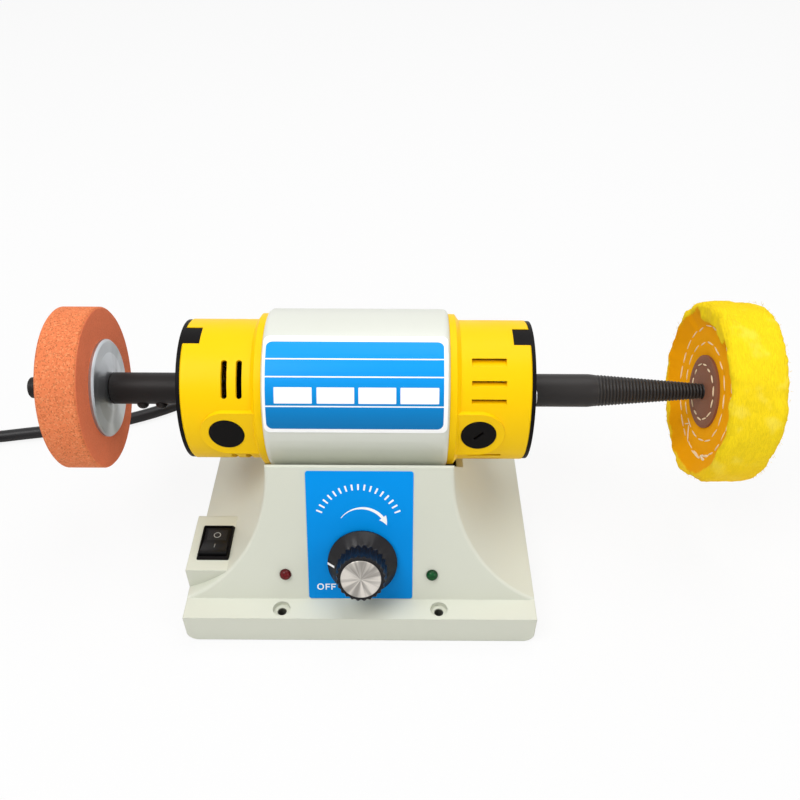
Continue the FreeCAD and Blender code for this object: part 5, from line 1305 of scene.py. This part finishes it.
@dataclass
class SupplyCord:
    """The supply cord: out of the gland, round behind the base and into a tied coil."""

    finishes: Finishes
    diameter: float = 6.8
    turns: float = 5.25
    coil_middle: float = 40.0
    pitch: float = 7.5
    layer: float = 7.4
    per_turn: int = 16
    centre_x: float = -262.0
    entry_y: float = 57.5
    low: float = 4.5
    tail: float = 18.0
    slack: float = 1.006
    length: float = 1.663
    route: Sequence[Place] = field(default_factory=lambda: [
        (-12.0, 105.9, 9.5), (-12.0, 132.0, 9.5), (-27.6, 152.5, 6.0), (-52.3, 159.0, 3.45),
        (-76.0, 149.0, 3.45), (-90.0, 127.0, 3.45), (-103.0, 104.5, 3.45),
        (-120.0, 90.0, 3.45), (-144.5, 77.0, 3.45), (-171.0, 69.0, 3.45),
        (-197.0, 65.0, 3.45), (-221.0, 60.0, 3.45), (-243.0, 57.5, 4.5)])

    def coil(self) -> list[Vector]:
        """Control points of the coil, in millimetres.

        Returns:
            Points that spiral in on the lower layer and out on the upper one.
        """
        outer = self.coil_middle + self.pitch * self.turns / 4
        centre = Vector((self.centre_x, self.entry_y - outer, 0.0))
        count = round(self.turns * self.per_turn)
        points = []
        for i in range(count + 1):
            turned = self.turns * i / count
            radius = self.slack * (outer - self.pitch * min(turned, self.turns - turned))
            lifted = min(max((turned - self.turns / 2 + 0.25) / 0.5, 0.0), 1.0)
            height = self.low + self.layer * (1 - math.cos(math.pi * lifted)) / 2
            angle = math.pi / 2 + math.tau * turned
            points.append(centre + Vector((
                radius * math.cos(angle), radius * math.sin(angle), height)))
        return points

    def build(self) -> None:
        points = [Vector(p) for p in self.route] + self.coil()
        points.append(points[-1] - Vector((0.0, self.tail, 0.0)))
        curve = bpy.data.curves.new("cord", "CURVE")
        curve.dimensions = "3D"
        spline = curve.splines.new("NURBS")
        spline.points.add(len(points) - 1)
        for point, place in zip(spline.points, points):
            point.co = (*(place * MM), 1.0)
        spline.order_u = 3
        spline.use_endpoint_u = True
        spline.resolution_u = 4
        curve.bevel_depth = self.diameter / 2 * MM
        curve.bevel_resolution = 4
        curve.use_fill_caps = True
        curve.materials.append(self.finishes["cord_jacket"])
        cord = bpy.data.objects.new("cord", curve)
        bpy.context.scene.collection.objects.link(cord)
        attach(cord, "base")
        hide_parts("power_cord", "cord_coil")
        self.diameter * MM
        LOG.info("cord: %d points", len(points))


@dataclass
class TaperSpindle:
    """The right spindle: a plain part and a long taper with a fine thread."""

    finishes: Finishes
    start: float = 76.55
    plain_end: float = 108.4
    tip: float = 178.0
    plain_radius: float = 7.7
    thread_radius: float = 7.35
    tip_radius: float = 1.95
    pitch: float = 1.585
    depth: float = 0.46
    steps: int = 8
    sides: int = 40
    plain_rows: int = 30

    def surface(self, share: float, angle: float) -> tuple[float, float]:
        """The threaded taper.

        Args:
            share: Share of the thread's length.
            angle: Angle round the shaft.

        Returns:
            The station and the radius, in metres.
        """
        length = self.tip - self.plain_end
        station = self.plain_end + length * share
        radius = self.thread_radius + (self.tip_radius - self.thread_radius) * share
        phase = (station / self.pitch - angle / math.tau) % 1.0
        ridge = 1 - abs(2 * phase - 1)
        fade = min(share * length / (2 * self.pitch), (1 - share) * length / self.pitch, 1.0)
        return station * MM, (radius + self.depth * (ridge - 0.5) * fade) * MM

    def plain(self, share: float, angle: float) -> tuple[float, float]:
        """The plain part with its rounded end.

        Args:
            share: Share of its length.
            angle: Angle round the shaft. Not used.

        Returns:
            The station and the radius, in metres.
        """
        length = self.plain_end - self.start
        station = self.start + length * share
        left = self.plain_end - station
        drop = 0.3 * max(1 - left / 2.4, 0.0)
        return station * MM, (self.plain_radius - drop) * MM

    def build(self) -> None:
        """Make both parts as one piece."""
        rows = int((self.tip - self.plain_end) / self.pitch * self.steps)
        thread = wrapped(rows, self.sides, self.surface)
        shank = wrapped(self.plain_rows, self.sides, self.plain)
        data = bpy.data.meshes.new("shank")
        shank.to_mesh(data)
        shank.free()
        thread.from_mesh(data)
        bpy.data.meshes.remove(data)
        piece = put("threaded_spindle", thread, self.finishes["threaded_steel"], "rotor", 50.0)
        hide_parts("taper_spindle", "spindle_grub_screws")


@dataclass
class Buff:
    """The cotton buff: stitched plies that fan out from their leather discs."""

    finishes: Finishes
    near: float = 156.25
    width: float = 25.0
    hub_width: float = 15.2
    tilt: float = 2.0
    bore: float = 3.5
    disc_radius: float = 17.0
    disc_sheet: float = 1.6
    rim_radius: float = 41.5
    segments: int = 220
    plain_edges: int = 12
    disc_steps: int = 96
    rows: Sequence[float] = (23.0, 30.2)
    frays: int = 260
    loose: Sequence[tuple[float, float, float, float, float]] = (
        (0.372, 30.6, 7.0, 0.10, 1.7), (0.398, 31.2, 6.4, -0.12, 2.0),
        (0.385, 32.0, 5.0, 0.35, 2.1), (0.424, 31.3, 6.6, 0.06, 1.6),
        (0.448, 31.0, 6.0, -0.05, 1.3), (0.505, 26.6, 8.2, 0.95, 0.9),
        (0.536, 25.2, 6.0, -0.9, 0.8))

    def half_profile(self) -> list[tuple[float, float]]:
        """One face from the bore to the rim's middle: distance from the middle plane, radius.

        Returns:
            Its points in order, in millimetres.
        """
        hub, half = self.hub_width / 2, self.width / 2
        return [
            (hub, self.bore), (hub, 8.0), (hub, 16.0), (hub + 0.4, 18.5), (hub + 0.9, 20.5),
            (hub + 0.8, 22.4), (hub + 0.6, 23.0), (hub + 0.9, 23.8), (hub + 1.1, 26.5),
            (hub + 0.7, 29.4), (hub + 0.5, 30.2), (hub + 0.9, 31.2), (hub + 2.3, 34.0),
            (half - 1.2, 36.5), (half, 38.6), (half, 39.9), (half - 0.8, 40.9),
            (half - 2.2, 41.4), (half - 4.0, 41.6), (half - 6.2, 41.5), (half - 8.6, 41.6),
        ]

    def ruffle(self, place: Vector) -> Vector:
        """Move a point of the smooth form into folds, frays and one flap folded inwards.

        Args:
            place: The point, in metres.

        Returns:
            The moved point.
        """
        middle = (self.near + self.width / 2) * MM
        side = place.x - middle
        across, high = place.y - SHAFT.y, place.z - SHAFT.z
        radius, angle = math.hypot(across, high), math.atan2(high, across)
        outward = max((radius / MM - 24.0) / 17.5, 0.0)
        rim = min(max((radius / MM - 38.0) / 2.0, 0.0), 1.0)
        edge = max(1 - abs(abs(side) / MM - self.width / 2) / 2.5, 0.0) * rim
        spot = Vector((math.cos(angle), math.sin(angle), 0.7 if side > 0 else -0.7))
        fold = noise.noise(spot * 3.1) * 1.2 + noise.noise(spot * 8.0) * 0.7
        rag = noise.noise(place * 160 + Vector((3.0, 5.0, 7.0))) * 0.7
        rag += noise.noise(place * 520) * 0.42
        lump = noise.noise(place * 62 + Vector((9.0, 1.0, 4.0))) * 1.1
        lump += noise.noise(spot * 2.2 + Vector((4.0, 8.0, 0.0))) * 1.3
        if side < 0 and 31.4 * MM < radius < 39.0 * MM:
            turned = math.cos(angle - math.pi / 2 - FLAP_TURN)
            fill = min(max((turned - FLAP_EDGE) / 0.02, 0.0), 1.0) * 0.85
            place = place - Vector((fill * (self.width / 2 * MM - abs(side)), 0.0, 0.0))
        reach = radius + (lump * rim + rag * (rim * 0.7 + edge * 1.1) - edge * 0.5) * MM
        shift = fold * outward * 1.15 * MM * math.copysign(1.0, side) * min(
            abs(side) / (4 * MM), 1.0)
        return Vector((place.x + shift, SHAFT.y + reach * math.cos(angle),
                       SHAFT.z + reach * math.sin(angle)))

    def build(self) -> None:
        """Make the plies, the stitches, the discs and the frayed threads."""
        self.plies()
        self.discs()
        self.stitches()
        self.threads()

    def lean(self, mesh: bmesh.types.BMesh) -> None:
        """Set a built mesh a little askew on the taper, as such buffs sit.

        Args:
            mesh: The mesh.
        """
        middle = Vector(((self.near + self.width / 2) * MM, SHAFT.y, SHAFT.z))
        turn = Matrix.Rotation(math.radians(self.tilt), 4, "Z")
        bmesh.ops.transform(mesh, verts=mesh.verts, matrix=(
            Matrix.Translation(middle) @ turn @ Matrix.Translation(-middle)))

    def plies(self) -> None:
        """Spin the profile and ruffle it."""
        middle = self.near + self.width / 2
        half = self.half_profile()
        outline = [(middle - x, r) for x, r in half] + [(middle + x, r) for x, r in half[::-1]]
        mesh = bmesh.new()
        edges = loop(mesh, above_shaft(outline))
        bmesh.ops.subdivide_edges(mesh, cuts=1,
                                  edges=edges[self.plain_edges:-self.plain_edges - 1])
        spin_round_shaft(mesh, self.segments)
        for vert in mesh.verts:
            vert.co = self.ruffle(vert.co)
        self.lean(mesh)
        piece = put("cotton_plies", mesh, self.finishes["yellow_cotton"], "rotor", 180.0)
        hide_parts("buffing_wheel")

    def discs(self) -> None:
        """Leather discs, pressed in a little at their stitches."""
        for name, side in (("near_disc", -1.0), ("far_disc", 1.0)):
            middle = self.near + self.width / 2
            inner = middle + side * self.hub_width / 2
            outer = inner + side * self.disc_sheet
            outline = [(inner, self.bore), (outer, self.bore), (outer, 11.6),
                       (outer - side * 0.35, 12.7), (outer, 13.8), (outer, 16.3),
                       (outer - side * 0.4, self.disc_radius), (inner, self.disc_radius)]
            mesh = bmesh.new()
            loop(mesh, above_shaft(outline))
            spin_round_shaft(mesh, self.disc_steps)
            self.lean(mesh)
            piece = put(name, mesh, self.finishes["brown_leather"], "rotor", 60.0)
            if side < 0:
                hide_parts("leather_discs")

    def face_at(self, radius: float) -> float:
        """How far the pressed face is from the middle plane at a radius, in millimetres.

        Args:
            radius: The radius, in millimetres.

        Returns:
            The distance.
        """
        half = self.half_profile()
        for (low, near), (high, far) in zip(half, half[1:]):
            if near <= radius <= far:
                return low + (high - low) * (radius - near) / max(far - near, 1e-6)
        return half[-1][0]

    def stitches(self) -> None:
        """Rows of white stitches on both faces."""
        mesh = bmesh.new()
        rows = [(12.7, 4.2, 1.3, self.hub_width / 2 + self.disc_sheet - 0.1)]
        rows += [(row, 6.8, 1.3, self.face_at(row)) for row in self.rows]
        for side in (-1.0, 1.0):
            for radius, length, gap, height in rows:
                count = int(math.tau * radius / (length + gap))
                for i in range(count):
                    self.stitch(mesh, side, radius, length, height, i / count)
            for share, radius, length, slant, thick in self.loose:
                self.stitch(mesh, side, radius, length, self.face_at(radius), share, slant, thick)
        self.lean(mesh)
        piece = put("buff_stitches", mesh, self.finishes["white_thread"], "rotor", 180.0)

    def stitch(self, mesh: bmesh.types.BMesh, side: float, radius: float, length: float,
               height: float, share: float, slant: float = 0.0, thick: float = 1.0) -> None:
        """Add one stitch.

        Args:
            mesh: The mesh that takes it.
            side: -1 for the face towards the motor.
            radius: Its row's radius.
            length: Its length.
            height: The face's distance from the middle plane.
            share: Where it is round the row.
            slant: How far it is turned out of the row, in radians.
            thick: How thick it is, 1 for a plain stitch.
        """
        jitter = noise.noise(Vector((share * 90.0, radius, side * 3.0)))
        angle = math.tau * share + jitter * 0.02
        wander = radius + jitter * 1.6
        made = bmesh.ops.create_uvsphere(mesh, u_segments=8, v_segments=6, radius=1.0)["verts"]
        stretch = length / 2 * (1 + jitter * 0.6)
        for vert in made:
            vert.co = Vector((vert.co.x * 0.4, vert.co.y * 0.4 * thick,
                              vert.co.z * stretch)) * MM
        middle = (self.near + self.width / 2 + side * (height + 0.12)) * MM
        place = Vector((middle, SHAFT.y, SHAFT.z + wander * MM))
        lay = Matrix.Rotation(math.pi / 2 + jitter * 0.35 + slant, 4, "X")
        bmesh.ops.transform(mesh, matrix=Matrix.Translation(place) @ lay, verts=made)
        bmesh.ops.transform(mesh, matrix=about_shaft(angle), verts=made)

    def threads(self) -> None:
        """Loose cotton threads that stand out of the rim's edges."""
        mesh = bmesh.new()
        middle = self.near + self.width / 2
        for i in range(self.frays):
            seed = Vector((i * 0.37, i * 0.11, 5.0))
            toss = [noise.noise(seed + Vector((k * 31.7, 0, 0))) for k in range(5)]
            angle = math.tau * (i / self.frays) + toss[0] * 0.1
            side = -1.0 if i % 2 else 1.0
            station = middle + side * (self.width / 2 - abs(toss[1]) * 5.0)
            length = 0.6 + abs(toss[2]) * 1.6
            made = bmesh.ops.create_cone(mesh, segments=3, radius1=0.09 * MM, radius2=0.03 * MM,
                                         depth=length * MM, cap_ends=True)["verts"]
            lean = Matrix.Rotation(side * (0.5 + toss[3]), 4, "Y") @ (
                Matrix.Rotation(toss[4] * 2.2, 4, "X"))
            place = Vector((station * MM, SHAFT.y, SHAFT.z + (self.rim_radius - 0.8) * MM))
            bmesh.ops.transform(mesh, verts=made, matrix=(
                Matrix.Translation(place) @ lean @ Matrix.Translation(
                    Vector((0, 0, length / 2 * MM)))))
            bmesh.ops.transform(mesh, matrix=about_shaft(angle), verts=made)
        self.lean(mesh)
        piece = put("buff_threads", mesh, self.finishes["yellow_cotton"], "rotor", 180.0)


@dataclass
class Arbor:
    """The left arbor's threaded stub."""

    finishes: Finishes
    root: float = -149.6
    tip: float = -156.0
    radius: float = 4.9
    pitch: float = 1.5
    rows: int = 50
    sides: int = 40

    def surface(self, share: float, angle: float) -> tuple[float, float]:
        """The thread with its chamfered tip.

        Args:
            share: Share of the stub's length.
            angle: Angle round the shaft.

        Returns:
            The station and the radius, in metres.
        """
        station = self.root + (self.tip - self.root) * share
        phase = (station / self.pitch + angle / math.tau) % 1.0
        ridge = 1 - abs(2 * phase - 1)
        tip = max(share - 0.88, 0.0) / 0.12
        return station * MM, (self.radius + 0.06 + 0.45 * (ridge - 0.9) - 0.7 * tip) * MM

    def build(self) -> None:
        """Make the thread over the plain stub."""
        mesh = wrapped(self.rows, self.sides, self.surface)
        piece = put("stub_thread", mesh, self.finishes["black_oxide"], "rotor", 60.0)


def panel_turn() -> Matrix:
    """Turn from the panel's own axes: X across, Y up it and Z out of it."""
    return Matrix((Vector((1.0, 0.0, 0.0)), UP_PANEL, OUT_OF_PANEL)).transposed().to_4x4()


@dataclass
class Switch:
    """The rocker switch: a sloping frame and a rocker that nearly fills it."""

    finishes: Finishes
    middle: Place = (-68.7, -42.8, 28.5)
    pivot: float = -1.6
    rocker_half: tuple[float, float] = (6.15, 8.6)
    rocker_end: float = 3.6
    rocker_low: float = -1.2
    tilt: float = 7.0
    edge: float = 0.35
    corner_steps: int = 4
    rings: Sequence[tuple[float, float, float, float]] = (
        (5.7, 8.6, 0.3, -8.5), (5.7, 8.6, 0.3, -4.6), (6.3, 9.3, 0.3, -4.2),
        (6.3, 9.3, 0.3, 1.35), (6.45, 9.45, 0.4, 1.5), (6.8, 9.75, 0.5, 1.5),
        (7.0, 9.95, 0.6, 1.35), (7.5, 10.45, 0.8, 0.25), (7.5, 10.5, 0.8, 0.0),
        (6.5, 9.5, 0.3, 0.0), (6.5, 9.5, 0.3, -15.0))

    def ring(self, half_x: float, half_y: float, corner: float, height: float) -> list[Vector]:
        """Places round a rectangle with round corners.

        Args:
            half_x, half_y: Half its sizes.
            corner: The radius of its corners.
            height: Its height above the pad.

        Returns:
            The places, in metres, in order.
        """
        places = []
        for quarter in range(4):
            sign_x = 1 if quarter in (0, 3) else -1
            sign_y = 1 if quarter in (0, 1) else -1
            for step in range(self.corner_steps + 1):
                angle = (quarter + step / self.corner_steps) * math.pi / 2
                place = Vector((sign_x * (half_x - corner) + corner * math.cos(angle),
                                sign_y * (half_y - corner) + corner * math.sin(angle), height))
                places.append((Vector(self.middle) + place) * MM)
        return places

    def frame(self) -> None:
        """Roll a grid into the frame's rings, from the well's floor to the body's."""
        mesh = bmesh.new()
        rings = [self.ring(*ring) for ring in self.rings]
        sides = len(rings[0])
        bmesh.ops.create_grid(mesh, x_segments=len(rings) - 1, y_segments=sides, size=1.0)
        for vert in mesh.verts:
            ring = rings[round((vert.co.x + 1) / 2 * (len(rings) - 1))]
            vert.co = ring[round((vert.co.y + 1) / 2 * sides) % sides]
        bmesh.ops.remove_doubles(mesh, verts=mesh.verts, dist=DOUBLES)
        bmesh.ops.holes_fill(mesh, edges=[e for e in mesh.edges if e.is_boundary], sides=0)
        piece = put("rocker_frame", mesh, self.finishes["black_plastic"], "base", 30.0)
        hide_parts("switch_frame")

    def rocker(self) -> None:
        """Extrude the rocker's side view and tilt it to off."""
        half_x, half_y = self.rocker_half
        dip = self.rocker_end - half_y * math.tan(math.radians(self.tilt))
        shares = [step / 4 for step in range(4, -5, -1)]
        side = [(-half_y, self.rocker_low), (half_y, self.rocker_low)]
        side += [(half_y * share, dip + (self.rocker_end - dip) * abs(share) ** 1.25)
                 for share in shares]
        mesh = bmesh.new()
        edges = loop(mesh, [(-half_x * MM, y * MM, z * MM) for y, z in side])
        faces = bmesh.ops.edgeloop_fill(mesh, edges=edges)["faces"]
        grown = bmesh.ops.extrude_face_region(mesh, geom=faces)["geom"]
        bmesh.ops.translate(mesh, vec=(2 * half_x * MM, 0.0, 0.0),
                            verts=[v for v in grown if isinstance(v, bmesh.types.BMVert)])
        bmesh.ops.bevel(mesh, geom=[e for e in mesh.edges if e.calc_face_angle(0.0) > 0.6],
                        offset=self.edge * MM, affect="EDGES", segments=2, profile=0.5,
                        material=-1)
        foot = (Vector(self.middle) + Vector((0.0, 0.0, self.pivot))) * MM
        tilt = Matrix.Rotation(math.radians(-self.tilt), 4, "X")
        bmesh.ops.transform(mesh, verts=mesh.verts, matrix=Matrix.Translation(foot) @ tilt)
        piece = put("rocker_cap", mesh, self.finishes["rocker_plastic"], "rocker", 40.0)
        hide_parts("switch_rocker")

    def build(self) -> None:
        """Make both parts."""
        self.frame()
        self.rocker()


@dataclass
class Domes:
    """The lamps' lenses and the rounded ends of the arbor's set screws."""

    finishes: Finishes
    lamp_x: Sequence[float] = (-34.2, 32.6)
    lamp_up: float = 12.4
    lamp_radius: float = 2.7
    lamp_height: float = 2.3
    screw_x: Sequence[float] = (-94.7, -103.5)
    screw_turn: float = 52.0
    screw_radius: float = 2.8
    screw_height: float = 2.5
    arbor_radius: float = 7.4
    screw_sink: float = 0.3
    underside: float = 0.5

    def dome(self, mesh: bmesh.types.BMesh, matrix: Matrix, radius: float, height: float
             ) -> None:
        """Add a dome that stands on a face.

        Args:
            mesh: The mesh that takes it.
            matrix: Its foot's place, with Z out of the face.
            radius: Its radius.
            height: Its height. Its underside is flatter.
        """
        made = bmesh.ops.create_uvsphere(mesh, u_segments=28, v_segments=16, radius=1.0)["verts"]
        for vert in made:
            tall = height if vert.co.z > 0 else self.underside
            vert.co = Vector((vert.co.x * radius, vert.co.y * radius, vert.co.z * tall)) * MM
        bmesh.ops.transform(mesh, matrix=matrix, verts=made)

    def build(self) -> None:
        """Make the lenses and the screws' ends."""
        for name, finish, across in zip(("red_lamp", "green_lamp"), ("red_lens", "green_lens"),
                                        self.lamp_x):
            foot = PANEL_FOOT + Vector((across * MM, 0.0, 0.0)) + UP_PANEL * self.lamp_up * MM
            mesh = bmesh.new()
            self.dome(mesh, Matrix.Translation(foot) @ panel_turn(), self.lamp_radius,
                      self.lamp_height)
            lens = put(f"{finish}_dome", mesh, self.finishes[finish], "base")
            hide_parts(name)
        mesh = bmesh.new()
        for across in self.screw_x:
            turn = Matrix.Rotation(math.radians(90 + self.screw_turn), 4, "X")
            out = turn @ Vector((0.0, 0.0, 1.0))
            reach = (self.arbor_radius - self.screw_sink) * MM
            foot = SHAFT + Vector((across * MM, 0.0, 0.0)) + out * reach
            self.dome(mesh, Matrix.Translation(foot) @ turn, self.screw_radius,
                      self.screw_height)
        screws = put("set_screw_ends", mesh, self.finishes["black_oxide"], "rotor")
        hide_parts("arbor_set_screws")


@dataclass
class Knob:
    """The speed knob: a skirt, a grip with deep ribs and a metal disc."""

    finishes: Finishes
    lift: float = 1.1
    skirt: float = 15.7
    skirt_top: float = 6.0
    grip_foot: float = 11.4
    grip_top: float = 10.9
    height: float = 17.0
    disc: float = 8.8
    ribs: int = 24
    rib_steps: int = 8
    rib_depth: float = 0.95

    def turned(self, outline: Sequence[tuple[float, float]], steps: int) -> bmesh.types.BMesh:
        """Spin an open outline round the dial's axis.

        Args:
            outline: Radius and height above the panel of each point, in millimetres.
            steps: Faces round the axis.

        Returns:
            The turned mesh, still lying on the dial's own axes.
        """
        mesh = bmesh.new()
        verts = [mesh.verts.new((radius * MM, 0.0, height * MM)) for radius, height in outline]
        for pair in zip(verts, verts[1:]):
            mesh.edges.new(pair)
        bmesh.ops.spin(mesh, geom=mesh.verts[:] + mesh.edges[:], cent=(0.0, 0.0, 0.0),
                       axis=(0.0, 0.0, 1.0), angle=math.tau, steps=steps, use_merge=True)
        return mesh

    def set_down(self, mesh: bmesh.types.BMesh) -> None:
        """Turn the mesh from the dial's own axes to its place on the panel.

        Args:
            mesh: The mesh.
        """
        foot = DIAL + OUT_OF_PANEL * self.lift * MM
        bmesh.ops.transform(mesh, matrix=Matrix.Translation(foot) @ panel_turn(),
                            verts=mesh.verts)

    def rib(self, vert: bmesh.types.BMVert) -> None:
        """Press a point of the grip in between its ribs.

        Args:
            vert: The point.
        """
        radius = math.hypot(vert.co.x, vert.co.y)
        height = vert.co.z / MM
        if radius < (self.disc + 1.0) * MM or height < self.skirt_top:
            return
        angle = math.atan2(vert.co.y, vert.co.x)
        groove = (0.5 + 0.5 * math.cos(self.ribs * angle)) ** 0.7
        rise = min((height - self.skirt_top) / 0.8, 1.0)
        taper = 1 - 0.3 * (height - self.skirt_top) / (self.height - self.skirt_top)
        inwards = self.rib_depth * MM * groove * rise * taper / radius
        vert.co.x *= 1 - inwards
        vert.co.y *= 1 - inwards

    def build(self) -> None:
        """Make the knob and its disc."""
        span = self.height - self.skirt_top
        grip = [(self.grip_foot + (self.grip_top - self.grip_foot) * share,
                 self.skirt_top + span * share) for share in (0.02, 0.05, 0.1, 0.3, 0.6, 0.94)]
        outline = [
            (0.0, 13.9), (3.02, 13.9), (3.02, 7.0), (8.0, 7.0), (8.0, 0.0),
            (self.skirt - 0.2, 0.0), (self.skirt, 0.2), (self.skirt, 1.1),
            (self.skirt - 0.25, 1.35), (self.grip_foot + 0.4, self.skirt_top - 0.2), *grip,
            (self.grip_top - 0.25, self.height - 0.15), (self.grip_top - 0.6, self.height),
            (self.disc + 0.05, self.height), (self.disc + 0.05, self.height - 0.5),
            (0.0, self.height - 0.5)]
        mesh = self.turned(outline, self.ribs * self.rib_steps)
        for vert in mesh.verts:
            self.rib(vert)
        self.set_down(mesh)
        knob = put("ribbed_knob", mesh, self.finishes["knob_plastic"], "knob", 34.0)
        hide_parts("speed_knob")
        top = self.height + 0.3
        mesh = self.turned([(0.0, self.height - 0.5), (self.disc, self.height - 0.5),
                            (self.disc, top - 0.15), (self.disc - 0.15, top), (0.0, top)], 96)
        self.set_down(mesh)
        disc = put("knob_disc", mesh, self.finishes["spun_aluminium"], "knob", 30.0)
        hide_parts("knob_cap")


class Lathe:
    """The whole lathe: the CAD nodes' finishes and the pieces modelled here."""

    def __init__(self, frame: dict) -> None:
        """Keep the frame and make the finishes."""
        self.frame = frame
        self.finishes = Finishes()

    def dress_nodes(self) -> None:
        """Give every CAD node its finish."""
        for name, node in self.frame["nodes"].items():
            finish = NODE_FINISHES[name]
            node.data.materials.clear()
            node.data.materials.append(self.finishes[finish])
            LOG.info("%s: %s", name, finish)

    def build(self) -> None:
        """Dress the nodes and build the pieces."""
        self.dress_nodes()
        SupplyCord(self.finishes).build()
        TaperSpindle(self.finishes).build()
        Buff(self.finishes).build()
        Arbor(self.finishes).build()
        Knob(self.finishes).build()
        Switch(self.finishes).build()
        Domes(self.finishes).build()


def main() -> None:
    """Load the frame, dress it, and set up the studio."""
    logging.basicConfig(level=logging.INFO, format="%(name)s: %(message)s")
    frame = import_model()
    Studio().build()
    Lathe(frame).build()
    bpy.context.scene.view_settings.view_transform = "Standard"
    bpy.context.view_layer.update()


if __name__ == "__main__":
    main()
